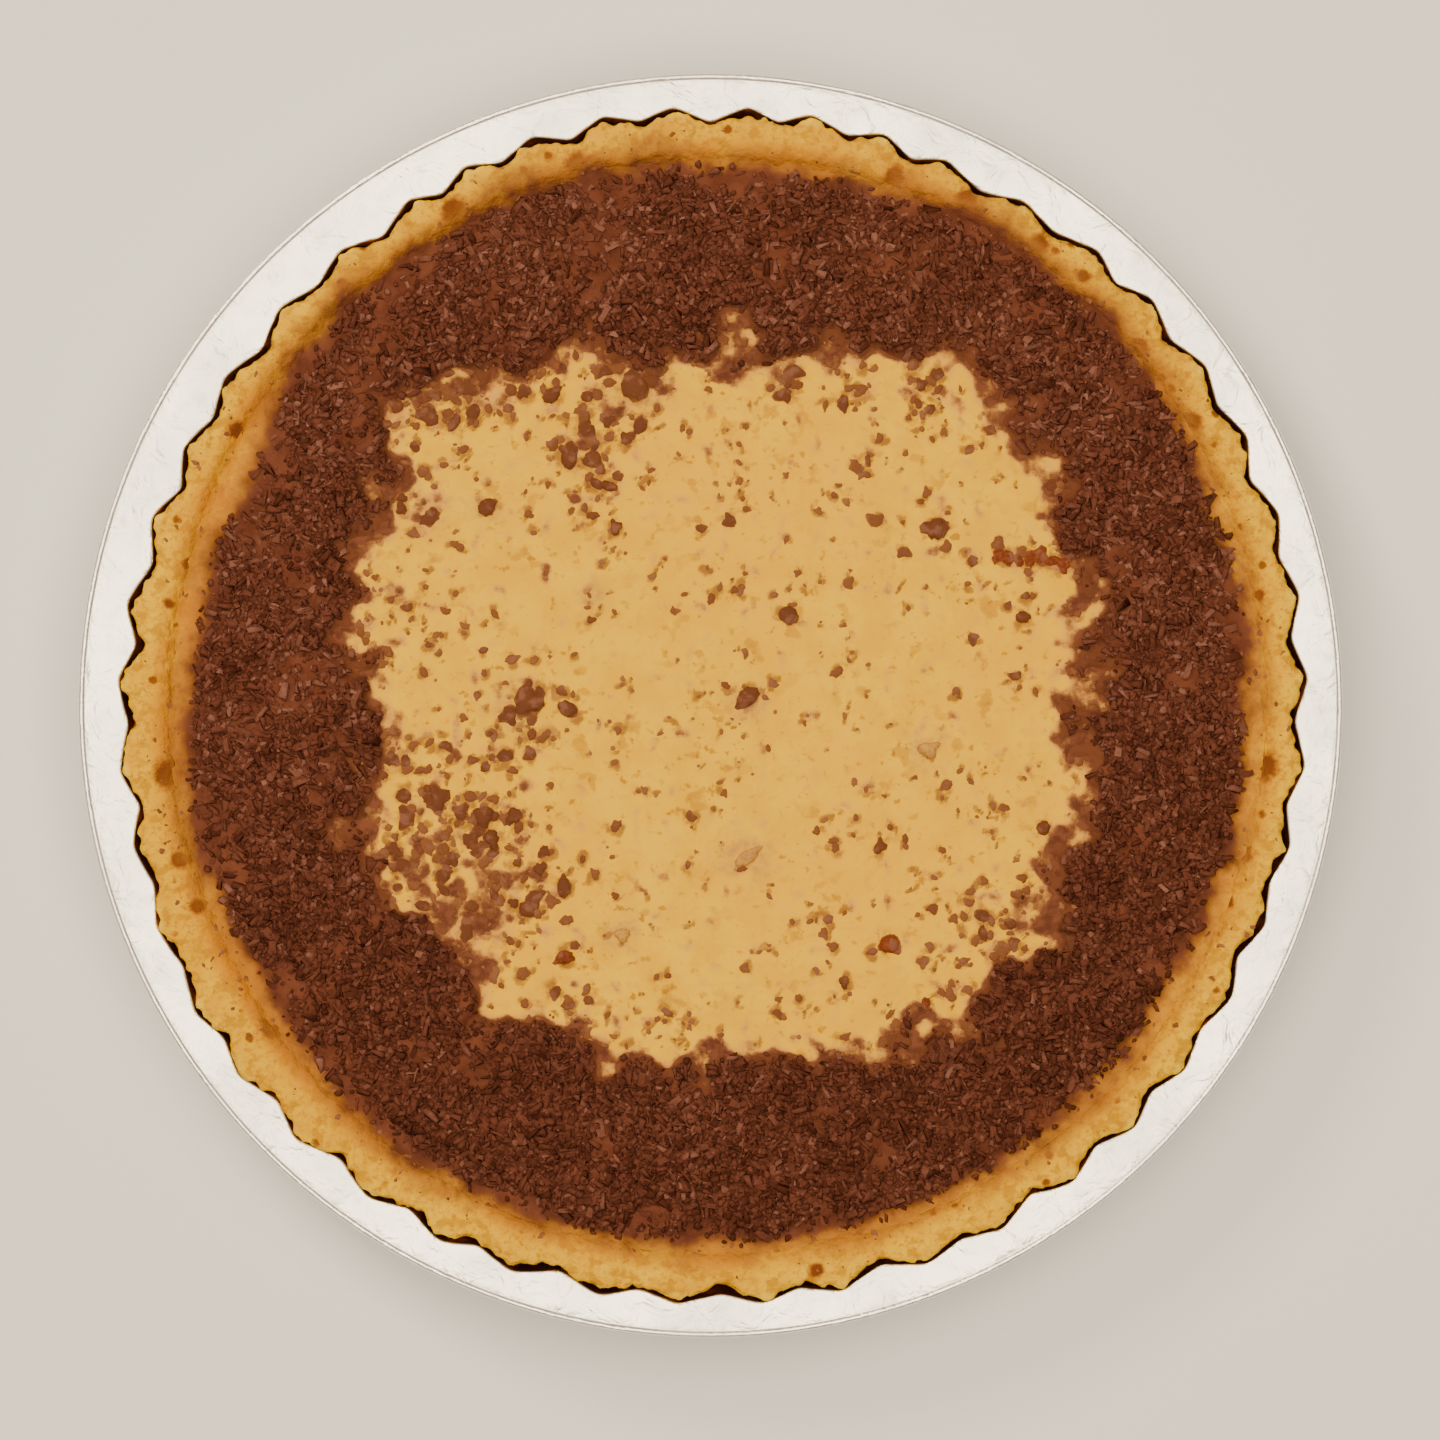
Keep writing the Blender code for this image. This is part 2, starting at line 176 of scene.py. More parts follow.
# The larger lumps that lie on the bare custard: x and y from the tart's middle, and length.
LUMPS = (
    (-0.0162, 0.0640, 0.0080), (-0.0332, 0.0620, 0.0046), (-0.0294, 0.0498, 0.0060),
    (-0.0216, 0.0440, 0.0040), (-0.0462, 0.0396, 0.0048), (-0.0204, 0.0354, 0.0036),
    (0.0436, 0.0354, 0.0056), (0.0142, 0.0180, 0.0048), (0.0062, 0.0018, 0.0062),
    (-0.0382, 0.0008, 0.0080), (-0.0298, -0.0006, 0.0046), (-0.0560, -0.0190, 0.0060),
    (-0.0468, -0.0220, 0.0058), (-0.0406, -0.0220, 0.0044), (-0.0452, -0.0266, 0.0052),
    (-0.0382, -0.0408, 0.0048), (-0.0306, -0.0366, 0.0046), (-0.0306, -0.0504, 0.0040),
    (-0.0190, -0.0458, 0.0042), (0.0058, -0.0306, 0.0056), (0.0346, -0.0476, 0.0046),
    (0.0420, -0.0086, 0.0050), (0.0324, -0.0284, 0.0036), (0.0254, -0.0552, 0.0034),
    (0.0654, -0.0246, 0.0038), (0.0612, 0.0176, 0.0040),
)

# Smaller flakes that stand out on the custard, in the same way.
FLAKES = (
    (-0.0418, 0.0594, 0.0030), (-0.0482, 0.0564, 0.0028), (-0.0540, 0.0584, 0.0026),
    (-0.0252, 0.0528, 0.0034), (-0.0514, 0.0316, 0.0026), (-0.0652, 0.0212, 0.0028),
    (-0.0252, 0.0170, 0.0026), (-0.0586, 0.0066, 0.0026), (-0.0468, 0.0110, 0.0028),
    (-0.0412, 0.0092, 0.0030), (-0.0480, 0.0022, 0.0024), (0.0036, 0.0232, 0.0026),
    (0.0026, 0.0370, 0.0032), (-0.0034, 0.0354, 0.0026), (0.0374, 0.0308, 0.0028),
    (0.0318, 0.0370, 0.0032), (0.0418, 0.0424, 0.0030), (0.0262, 0.0244, 0.0026),
    (0.0242, 0.0068, 0.0032), (0.0598, 0.0058, 0.0026), (0.0510, 0.0134, 0.0028),
    (0.0512, 0.0288, 0.0030), (0.0430, 0.0650, 0.0032), (0.0266, 0.0634, 0.0026),
    (0.0134, 0.0656, 0.0024), (0.0282, 0.0476, 0.0030), (0.0428, 0.0594, 0.0030),
    (0.0548, 0.0552, 0.0032), (0.0186, -0.0432, 0.0026), (0.0214, -0.0454, 0.0026),
    (0.0234, -0.0482, 0.0028), (0.0234, -0.0270, 0.0026), (0.0550, -0.0432, 0.0030),
    (0.0504, -0.0396, 0.0026), (0.0460, -0.0158, 0.0030), (0.0576, -0.0204, 0.0026),
    (0.0414, -0.0512, 0.0028), (0.0418, -0.0596, 0.0030), (0.0358, -0.0636, 0.0026),
    (-0.0576, -0.0188, 0.0038), (-0.0606, -0.0316, 0.0034), (-0.0530, -0.0306, 0.0040),
    (-0.0434, -0.0392, 0.0032), (-0.0332, -0.0392, 0.0028), (-0.0300, -0.0430, 0.0030),
    (-0.0390, -0.0538, 0.0030), (-0.0448, -0.0544, 0.0026), (-0.0260, -0.0566, 0.0028),
    (-0.0296, -0.0600, 0.0028), (-0.0376, -0.0632, 0.0026), (-0.0244, -0.0340, 0.0026),
    (-0.0542, -0.0080, 0.0030), (-0.0454, -0.0056, 0.0028), (-0.0464, -0.0124, 0.0030),
    (-0.0610, -0.0080, 0.0026),
)

# Where flakes have fallen close together and run into each other: x, y, spread and share.
CLUSTERS = (
    (-0.0530, -0.0270, 0.0125, 2.0), (-0.0610, -0.0360, 0.0080, 2.0), (-0.0460, -0.0360, 0.0070, 1.6),
    (-0.0370, -0.0355, 0.0060, 0.9), (-0.0635, -0.0095, 0.0055, 1.7), (-0.0440, -0.0075, 0.0045, 1.1),
    (-0.0335, -0.0615, 0.0070, 1.2), (-0.0560, 0.0630, 0.0090, 2.3), (-0.0415, 0.0680, 0.0060, 1.9),
    (-0.0185, 0.0620, 0.0072, 2.3), (-0.0265, 0.0485, 0.0065, 2.0), (-0.0640, 0.0470, 0.0055, 2.1),
    (-0.0590, 0.0375, 0.0055, 1.6), (-0.0655, 0.0210, 0.0045, 1.8), (-0.0715, 0.0305, 0.0040, 2.0),
    (-0.0380, 0.0000, 0.0060, 1.3), (0.0130, 0.0660, 0.0045, 1.7), (0.0270, 0.0620, 0.0035, 1.7),
    (0.0430, 0.0640, 0.0040, 1.6), (0.0430, 0.0350, 0.0050, 0.9), (0.0600, 0.0300, 0.0040, 1.3),
    (0.0570, -0.0420, 0.0060, 1.3),
)

# Where melted chocolate lies smooth on the custard: x, y and radius.
FILMS = (
    (-0.0470, -0.0430, 0.0056), (-0.0485, -0.0525, 0.0052), (-0.0555, -0.0425, 0.0050),
)

# The few flakes that are redder than the rest: x, y and length.
RED_FLAKES = (
    (0.0346, -0.0476, 0.0042), (0.0312, -0.0492, 0.0030), (-0.0306, -0.0504, 0.0044),
    (0.0418, -0.0596, 0.0032), (0.0564, 0.0304, 0.0034), (0.0582, 0.0297, 0.0044),
    (0.0604, 0.0290, 0.0048), (0.0626, 0.0292, 0.0044), (0.0648, 0.0296, 0.0046),
    (0.0672, 0.0290, 0.0044), (0.0694, 0.0283, 0.0042),
)

# Lumps that are as red, and lumps that lie under a skin of custard.
RED_LUMPS = (
    (0.0346, -0.0476, 0.0046), (-0.0306, -0.0504, 0.0040),
)
SUNKEN_LUMPS = (
    (-0.0190, -0.0458, 0.0042), (0.0058, -0.0306, 0.0056), (0.0420, -0.0086, 0.0050),
)

# Dull violet smudges in the custard: x, y and radius.
SMUDGES = (
    (-0.0574, 0.0402, 0.0042), (-0.0462, 0.0396, 0.0030), (-0.0400, 0.0006, 0.0046),
    (-0.0190, -0.0458, 0.0034), (0.0058, -0.0306, 0.0050), (0.0420, -0.0086, 0.0036),
    (0.0062, 0.0006, 0.0034), (-0.0254, 0.0226, 0.0030), (-0.0150, 0.0640, 0.0052),
)

# How much is strewn, and how it is made.
LOOSE_FLAKE_COUNT = 1080
RIM_SPECK_COUNT = 300
DENT_COUNT = 34
SHAPES_PER_KIND = 8
FLAKE_HEIGHT_SHARE = 0.60
HIGHEST_FLAKE = 0.0022
CRUMB_DEPTH = 3
SCATTER_SEED = 11

# Shades above 1 that tell the flakes' finish of the red flakes and the lumps under custard.
RED_SHADE = 1.9
SUNKEN_SHADE = 2.7


# Shapes that follow the tin and the tart

def crest_angles():
    """The angles of the flutes' crests, closer together along the back of the tin."""
    pitches = []
    angle = FIRST_CREST
    for _ in range(FLUTE_COUNT):
        at_back = BACK_START <= angle < BACK_END
        pitches.append(PLAIN_PITCH * (BACK_PITCH_RATIO if at_back else 1.0))
        angle += pitches[-1]
    stretch = math.tau / sum(pitches)
    crests = [FIRST_CREST]
    for pitch in pitches[:-1]:
        crests.append(crests[-1] + pitch * stretch)
    return crests


def flute_relief(part):
    """A zigzag from 1 on a crest to 0 in a hollow and back, both a little blunt."""
    total = 0.0
    for shift in (-CREST_BLUNTNESS, 0.0, CREST_BLUNTNESS):
        total += abs(2.0 * ((part + shift) % 1.0) - 1.0)
    blunted = 4.0 * CREST_BLUNTNESS / 3.0
    return (total / 3.0 - blunted) / (1.0 - 2.0 * blunted)


def flute_columns(steps):
    """Angle, relief and push out of round of each column of points round the tart."""
    draw = random.Random(FLUTE_SEED)
    crests = [angle + draw.uniform(-CREST_DRIFT, CREST_DRIFT) * PLAIN_PITCH for angle in crest_angles()]
    columns = []
    for start, end in zip(crests, crests[1:] + [crests[0] + math.tau]):
        hollow = draw.uniform(-FLUTE_DEPTH_SPREAD, FLUTE_DEPTH_SPREAD)
        for step in range(steps):
            angle = start + (end - start) * step / steps
            relief = hollow + (1.0 - hollow) * flute_relief(step / steps)
            pushed = by_angle(MOUTH_EDGE, *around(1.0, angle)) - TIN_MOUTH_RADIUS
            columns.append((angle, relief, pushed))
    return columns


def clamped(value, low=0.0, high=1.0):
    return min(max(value, low), high)


def eased(value):
    """From 0 to 1 with soft ends."""
    value = clamped(value)
    return value * value * (3.0 - 2.0 * value)


def around(radius, angle):
    """The place at a radius and an angle."""
    return radius * math.cos(angle), radius * math.sin(angle)


def uneven(x, y, wavelength, seed):
    """A soft random height from about -1 to 1, the same each time for the same place."""
    return noise.noise(Vector((x / wavelength, y / wavelength, 7.3 * seed)))


def by_angle(table, x, y):
    """Radius, or another measure, that goes with the angle of a place, eased between its points."""
    degrees = math.degrees(math.atan2(y, x)) % 360.0
    closed = table + ((table[0][0] + 360, table[0][1]),)
    for (start, near), (end, far) in zip(closed, closed[1:]):
        if start <= degrees <= end:
            return near + (far - near) * eased((degrees - start) / (end - start))
    return table[0][1]


def custard_top(x, y):
    """Height of the custard at a place given from the tart's middle."""
    gentle = 0.00022 * uneven(x, y, 0.036, 1)
    close = 0.00007 * uneven(x, y, 0.0065, 2)
    return CUSTARD_HEIGHT + gentle + close


def bed_cover(x, y):
    """How far the chocolate bed has risen at a place: under 0 it is below the custard."""
    radius = math.hypot(x, y)
    ragged = 0.0074 * uneven(x, y, 0.0105, 3) + 0.0056 * uneven(x, y, 0.0042, 4)
    return (radius - by_angle(BED_EDGE, x, y) + ragged) / 0.0052


def bed_top(x, y):
    """Height of the chocolate bed, ragged where it thins out over the custard and drawn up a
    little where it meets the lip of the crust."""
    radius = math.hypot(x, y)
    rise = clamped(bed_cover(x, y), -0.25, 1.0)
    drawn_up = 0.00108 * clamped((radius - 0.1070) / 0.0028) ** 2
    fall = 1.0 - 0.78 * eased((radius - 0.1010) / 0.0075)
    lumpy = 1.0 + 0.16 * uneven(x, y, 0.0062, 5) + 0.12 * uneven(x, y, 0.018, 6)
    return custard_top(x, y) + BED_THICKNESS * rise * fall * (lumpy if rise > 0.0 else 1.0) + drawn_up


def heap_share(x, y):
    """How thickly flakes have fallen at a place on the bare custard."""
    heaped = 0.0
    for centre_x, centre_y, spread, share in CLUSTERS:
        heaped += share * math.exp(-(math.hypot(x - centre_x, y - centre_y) / spread) ** 2)
    return heaped


def richness(x, y):
    """0 over the back, 1 over the front, where the chocolate is darker and less melted."""
    return eased((0.020 - y) / 0.080)


def dust_share(x, y, width):
    """1 where chocolate covers the crust, fading to 0 over a width across the dust's edge."""
    wander = 0.0030 * uneven(x, y, 0.0095, 15) + 0.0017 * uneven(x, y, 0.0030, 16)
    return eased(0.5 - (math.hypot(x, y) - by_angle(DUST_EDGE, x, y) - wander) / width)


def start_piece():
    """Leaves the last piece, with nothing selected."""
    if bpy.context.mode != 'OBJECT':
        bpy.ops.object.mode_set(mode='OBJECT')
    bpy.ops.object.select_all(action='DESELECT')


def named(name):
    piece = bpy.context.object
    piece.name = name
    piece.data.name = name
    return piece


def hold(piece):
    """Makes a piece the only one selected, and the active one."""
    start_piece()
    piece.select_set(True)
    bpy.context.view_layer.objects.active = piece


def put_at_origin(piece):
    """Moves a piece's place, turn and size into its mesh."""
    hold(piece)
    bpy.ops.object.transform_apply(location=True, rotation=True, scale=True)
    return piece


def smoothed(piece, degrees):
    hold(piece)
    bpy.ops.object.shade_smooth_by_angle(angle=math.radians(degrees))


def open_mesh(kind, action='SELECT'):
    """Goes into a mesh by its points, edges or faces, with all of them or none selected."""
    bpy.ops.object.mode_set(mode='EDIT')
    bpy.ops.mesh.select_mode(type=kind)
    bpy.ops.mesh.select_all(action=action)


def close_mesh():
    bpy.ops.object.mode_set(mode='OBJECT')


def rounded(points, passes=2):
    """An open outline with its corners cut again and again until they are round."""
    for _ in range(passes):
        softer = [points[0]]
        for (r0, z0), (r1, z1) in zip(points, points[1:]):
            softer.append((0.75 * r0 + 0.25 * r1, 0.75 * z0 + 0.25 * z1))
            softer.append((0.25 * r0 + 0.75 * r1, 0.25 * z0 + 0.75 * z1))
        softer.append(points[-1])
        points = softer
    return points


def stepped(points, spacing):
    """The same outline with points no further apart than the spacing."""
    closer = [points[0]]
    for (r0, z0), (r1, z1) in zip(points, points[1:]):
        parts = max(1, math.ceil(math.hypot(r1 - r0, z1 - z0) / spacing))
        for part in range(1, parts + 1):
            share = part / parts
            closer.append((r0 + (r1 - r0) * share, z0 + (z1 - z0) * share))
    return closer


def turned(name, outline, columns):
    """A round body: one point drawn along an outline of radius and height, then turned."""
    start_piece()
    bpy.ops.mesh.primitive_plane_add(size=0.001, location=(outline[0][0], 0.0, outline[0][1]))
    piece = named(name)
    open_mesh('VERT')
    bpy.ops.mesh.merge(type='CENTER')
    for (r0, z0), (r1, z1) in zip(outline, outline[1:]):
        bpy.ops.mesh.extrude_vertices_move(TRANSFORM_OT_translate={"value": (r1 - r0, 0.0, z1 - z0)})
    close_mesh()
    put_at_origin(piece)
    turn = piece.modifiers.new("turn", 'SCREW')
    turn.axis = 'Z'
    turn.angle = math.tau
    turn.steps = columns
    turn.render_steps = columns
    turn.use_merge_vertices = True
    turn.merge_threshold = WELD
    bpy.ops.object.modifier_apply(modifier=turn.name)
    open_mesh('VERT')
    bpy.ops.mesh.remove_doubles(threshold=WELD)
    bpy.ops.mesh.normals_make_consistent(inside=False)
    close_mesh()
    return piece


def press(piece, steps, depth_at, push_at, shift_at):
    """Presses the flutes into a turned body, whose columns then fall on crests and hollows,
    and pushes its mouth out of round."""
    columns = flute_columns(steps)
    plain_step = math.tau / len(columns)
    for vertex in piece.data.vertices:
        x, y, z = vertex.co
        radius = math.hypot(x, y)
        if radius < 0.001:
            vertex.co.x += TART_X
            continue
        column = round(math.atan2(y, x) / plain_step) % len(columns)
        angle, relief, pushed = columns[column]
        radius += push_at(radius, z) * pushed - depth_at(radius, z) * (1.0 - relief)
        middle = shift_at(math.hypot(x, y))
        out_x, out_y = around(radius, angle)
        vertex.co.x, vertex.co.y = middle + out_x, out_y
    piece.data.update()


def mark(piece, name, values):
    """Keeps one number for each point of a piece, for its material to read."""
    layer = piece.data.attributes.new(name, 'FLOAT', 'POINT')
    layer.data.foreach_set("value", np.asarray(values, np.float32))


def mark_places(piece, measures):
    """Marks a piece with measures that follow from a place, given from the tart's middle."""
    places = [(vertex.co.x - TART_X, vertex.co.y) for vertex in piece.data.vertices]
    for name, measure in measures.items():
        mark(piece, name, [measure(x, y) for x, y in places])


def roughen(piece, texture_kind, grain, strength, weights):
    """Raises a fine relief along the normals with a Displace modifier, then applies it."""
    group = piece.vertex_groups.new(name="relief")
    for index, weight in enumerate(weights):
        if weight > 0.0:
            group.add([index], weight, 'REPLACE')
    texture = bpy.data.textures.new(piece.name + " relief", texture_kind)
    texture.noise_scale = grain
    if texture_kind == 'CLOUDS':
        texture.noise_depth = CRUMB_DEPTH
    relief = piece.modifiers.new("relief", 'DISPLACE')
    relief.texture = texture
    relief.texture_coords = 'LOCAL'
    relief.vertex_group = group.name
    relief.strength = strength
    relief.mid_level = 0.5
    hold(piece)
    bpy.ops.object.modifier_apply(modifier=relief.name)
    piece.vertex_groups.clear()


# The tin

def make_tin():
    """Foil pressed into flutes, with a flat flange and a rolled edge."""
    under = FLANGE_HEIGHT - FOIL
    roll_r = FLANGE_RADIUS - ROLL_RADIUS
    roll_z = FLANGE_HEIGHT - 0.5 * ROLL_RADIUS
    roll_high = 0.0009
    floor_edge = 0.0995
    outside = [
        (floor_edge, 0.0),
        (TIN_FLOOR_RADIUS - 0.0030, 0.0),
        (TIN_FLOOR_RADIUS, 0.0002),
        (TIN_FLOOR_RADIUS + 0.0010, 0.0022),
        (TIN_MOUTH_RADIUS + FOIL - 0.0010, under - 0.0022),
        (TIN_MOUTH_RADIUS + FOIL + 0.0002, under - 0.0001),
        (TIN_MOUTH_RADIUS + FOIL + 0.0024, under),
        (ROLL_START, under),
    ]
    roll = []
    for degrees in range(-150, 151, 30):
        turn = math.radians(degrees)
        roll.append((roll_r + ROLL_RADIUS * math.cos(turn), roll_z + roll_high * math.sin(turn)))
    flange_top = [
        (ROLL_START + 0.0002, FLANGE_HEIGHT - 0.00012),
        (ROLL_START - 0.0006, FLANGE_HEIGHT),
        (TIN_MOUTH_RADIUS + 0.0008, FLANGE_HEIGHT),
    ]
    mouth = [
        (TIN_MOUTH_RADIUS + 0.0008, FLANGE_HEIGHT),
        (TIN_MOUTH_RADIUS + 0.00015, FLANGE_HEIGHT - 0.00004),
        (TIN_MOUTH_RADIUS - 0.00010, FLANGE_HEIGHT - 0.0003),
        (TIN_MOUTH_RADIUS - 0.0010, FLANGE_HEIGHT - 0.0022),
    ]
    hidden_inside = [
        (TIN_FLOOR_RADIUS - FOIL + 0.0006, FOIL + 0.0018),
        (TIN_FLOOR_RADIUS - FOIL - 0.0004, FOIL),
        (floor_edge, FOIL),
        (0.010, FOIL),
        (0.0, FOIL),
    ]
    outline = [(0.0, 0.0), (0.010, 0.0)] + stepped(rounded(outside, 1)[:-1], 0.0020) + roll
    outline += stepped(rounded(flange_top, 1), 0.0008) + stepped(rounded(mouth, 1), 0.0005)[1:]
    outline += hidden_inside
    tin = turned("foil_tin", outline, FLUTE_COUNT * TIN_STEPS_PER_FLUTE)

    def wall_share(radius):
        towards_roll = clamped((ROLL_START - radius) / (ROLL_START - TIN_MOUTH_RADIUS))
        towards_middle = clamped((radius - FLAT_FLOOR_RADIUS) / (TIN_FLOOR_RADIUS - FLAT_FLOOR_RADIUS))
        return towards_roll, towards_middle

    def depth(radius, height):
        towards_roll, towards_middle = wall_share(radius)
        full = FLOOR_FLUTE_DEPTH + (FLUTE_DEPTH - FLOOR_FLUTE_DEPTH) * height / FLANGE_HEIGHT
        return full * towards_roll * towards_middle

    def push(radius, height):
        towards_roll, towards_middle = wall_share(radius)
        return towards_roll * towards_middle * clamped(height / FLANGE_HEIGHT)

    press(tin, TIN_STEPS_PER_FLUTE, depth, push, lambda radius: TART_X * wall_share(radius)[0])
    mark_tin(tin)
    crease_tin(tin)
    smoothed(tin, 50.0)
    return tin


def crease_tin(tin):
    """Slight waves in the flange, and small dents where the rolled edge was knocked."""
    draw = random.Random(SCATTER_SEED)
    dents = []
    for _ in range(DENT_COUNT):
        dents.append((draw.uniform(0.0, math.tau), draw.uniform(0.0004, 0.0016),
                      draw.uniform(0.00008, 0.00030), draw.uniform(0.0007, 0.0020)))
    for vertex in tin.data.vertices:
        x, y, z = vertex.co
        radius = math.hypot(x, y)
        if z < 0.020 or radius < TIN_MOUTH_RADIUS - 0.0040:
            continue
        angle = math.atan2(y, x) % math.tau
        at_mouth = clamped(1.0 - (radius - by_angle(MOUTH_EDGE, x - TART_X, y)) / 0.0016)
        stray = 1.0 + at_mouth * 0.00022 * uneven(x, y, 0.0052, 21) / radius
        vertex.co.x, vertex.co.y = x * stray, y * stray
        wave = 0.00014 * uneven(x, y, 0.016, 8) + 0.00006 * uneven(x, y, 0.0045, 9)
        for centre, inset, depth, size in dents:
            along = (angle - centre + math.pi) % math.tau - math.pi
            away = math.hypot(along * radius, radius - (ROLL_START - inset)) / size
            if away < 2.5:
                wave -= depth * math.exp(-away * away)
        vertex.co.z += wave
    tin.data.update()


def mark_tin(tin):
    """Marks the inner wall, which only shows down the gap beside the crust and is painted dark there as
    painted shade and baked-on stain, and the flange.
    """
    inner, flange = [], []
    for vertex in tin.data.vertices:
        deep = clamped((FLANGE_HEIGHT - 0.00012 - vertex.co.z) / 0.00030)
        inner.append(deep if vertex.normal.z > 0.05 and vertex.co.z > 0.001 else 0.0)
        flange.append(clamped((vertex.co.z - 0.0225) / 0.0015))
    mark(tin, "inner_wall", inner)
    mark(tin, "flange", flange)


# The pastry case

def rim_share(radius):
    """0 at the inside of the rim and 1 at the shoulder, where the flutes are full."""
    inside = CRUST_RADIUS - RIM_WIDTH
    return clamped((radius - inside) / (CRUST_RADIUS - inside))


def make_crust():
    """Shortcrust: fluted wall, rounded shoulder, flat crumbly rim and a sloping lip."""
    rim_inside = CRUST_RADIUS - RIM_WIDTH
    hidden_outside = [(0.0, CRUST_FLOOR), (0.012, CRUST_FLOOR)]
    hidden_outside += [(CRUST_FLOOR_RADIUS, CRUST_FLOOR), (WALL_TOP_RADIUS, WALL_TOP)]
    shown = [
        (WALL_TOP_RADIUS, WALL_TOP),
        (0.1175, 0.0225),
        (0.1181, SHOULDER_HEIGHT),
        (0.1174, 0.0258),
        (0.1158, 0.0262),
        (0.1138, 0.0261),
        (rim_inside + 0.0008, 0.0259),
        (rim_inside - 0.0004, 0.0252),
        (0.1088, 0.0236),
        (LIP_RADIUS, LIP_HEIGHT),
    ]
    hidden_inside = [(LIP_RADIUS, LIP_HEIGHT), (0.1054, 0.0172), (0.0980, 0.0060)]
    hidden_inside += [(0.012, 0.0057), (0.0, 0.0057)]
    outline = stepped(hidden_outside, 0.030)
    outline += stepped(rounded(shown, 2), 0.00044)[1:]
    outline += stepped(hidden_inside, 0.030)[1:]
    crust = turned("pastry_case", outline, FLUTE_COUNT * CRUST_STEPS_PER_FLUTE)

    def on_wall(radius, height):
        outside = CRUST_FLOOR_RADIUS + (WALL_TOP_RADIUS - CRUST_FLOOR_RADIUS) * height / WALL_TOP
        return clamped((radius - outside + 0.0040) / 0.0030)

    def depth(radius, height):
        if height < WALL_TOP:
            full = FLOOR_FLUTE_DEPTH + (FLUTE_DEPTH - FLOOR_FLUTE_DEPTH) * height / WALL_TOP
            return full * on_wall(radius, height)
        if height < SHOULDER_HEIGHT and radius > 0.1160:
            return FLUTE_DEPTH
        return FLUTE_DEPTH * rim_share(radius) ** 1.5

    def push(radius, height):
        share = clamped(height / SHOULDER_HEIGHT)
        if height < WALL_TOP:
            return share * on_wall(radius, height)
        return share * clamped(rim_share(radius) / 0.70)

    press(crust, CRUST_STEPS_PER_FLUTE, depth, push, lambda radius: TART_X)
    wear_crust(crust)
    weights = [clamped((vertex.co.z - 0.0215) / 0.0015) for vertex in crust.data.vertices]
    roughen(crust, 'CLOUDS', 0.0013, 0.00062, weights)
    smoothed(crust, 60.0)
    mark_crust(crust)
    return crust


def crest_closeness(x, y):
    """How much the crust has spread towards the tin at an angle, from 0 to 1."""
    degrees = math.degrees(math.atan2(y, x)) % 360.0
    return max(share * eased(1.0 - abs(degrees - middle) / half) for middle, half, share in CLOSE_STRETCHES)


def wear_crust(crust):
    """Makes the rim wander in height and width, with small chips off its outer edge."""
    for vertex in crust.data.vertices:
        x, y, z = vertex.co.x - TART_X, vertex.co.y, vertex.co.z
        if z < 0.018:
            continue
        radius = math.hypot(x, y)
        outer = rim_share(radius)
        share = eased((z - 0.018) / 0.006)
        on_crest = clamped(1.0 + (radius - by_angle(MOUTH_EDGE, x, y) + 0.0010) / 0.0016)
        grow = 0.00022 + 0.00045 * uneven(x, y, 0.0110, 10) + 0.00085 * uneven(x, y, 0.0034, 11)
        grow += 0.00088 * uneven(x, y, 0.0017, 22)
        grow += 0.00062 * crest_closeness(x, y) * (0.45 + 0.55 * on_crest)
        grow = min(grow, 0.00088)
        chip = clamped(uneven(x, y, 0.0042, 12) - 0.26) * 0.0020
        radius += (grow - chip) * outer * share
        lift = 0.00034 * uneven(x, y, 0.0105, 13) + 0.00018 * uneven(x, y, 0.0036, 14)
        length = math.hypot(x, y)
        vertex.co.x = TART_X + x / length * radius
        vertex.co.y = y / length * radius
        vertex.co.z = z + (lift - 0.5 * chip) * share
    crust.data.update()


def dusting():
    """The measures that crust and bed share, so that their colours run into each other."""
    return {"dust": lambda x, y: dust_share(x, y, DUST_WIDTH),
            "veil": lambda x, y: dust_share(x, y, VEIL_WIDTH),
            "toast": lambda x, y: by_angle(TOAST, x, y)}


def mark_crust(crust):
    """Marks where chocolate dusts the crust, its toasted sides, its browner inside, its pale
    outer edge, partly a painted highlight, and its burnt spots."""
    # The pale outer edge: partly less baked pastry, partly a painted highlight where the shoulder catches
    # the light.
    def pale(x, y):
        outwards = math.hypot(x, y) - by_angle(MOUTH_EDGE, x, y) + 0.0023
        return eased((outwards + 0.0005 * uneven(x, y, 0.0040, 23)) / 0.0016)

    def burnt(x, y):
        return max(math.exp(-(math.hypot(x - spot_x, y - spot_y) / size) ** 2)
                   for spot_x, spot_y, size in BURNT_SPOTS)

    def inner(x, y):
        return 1.0 - eased((math.hypot(x, y) - 0.1100) / 0.0045)

    mark_places(crust, {"pale": pale, "burnt": burnt, "inner": inner, **dusting()})


# The custard

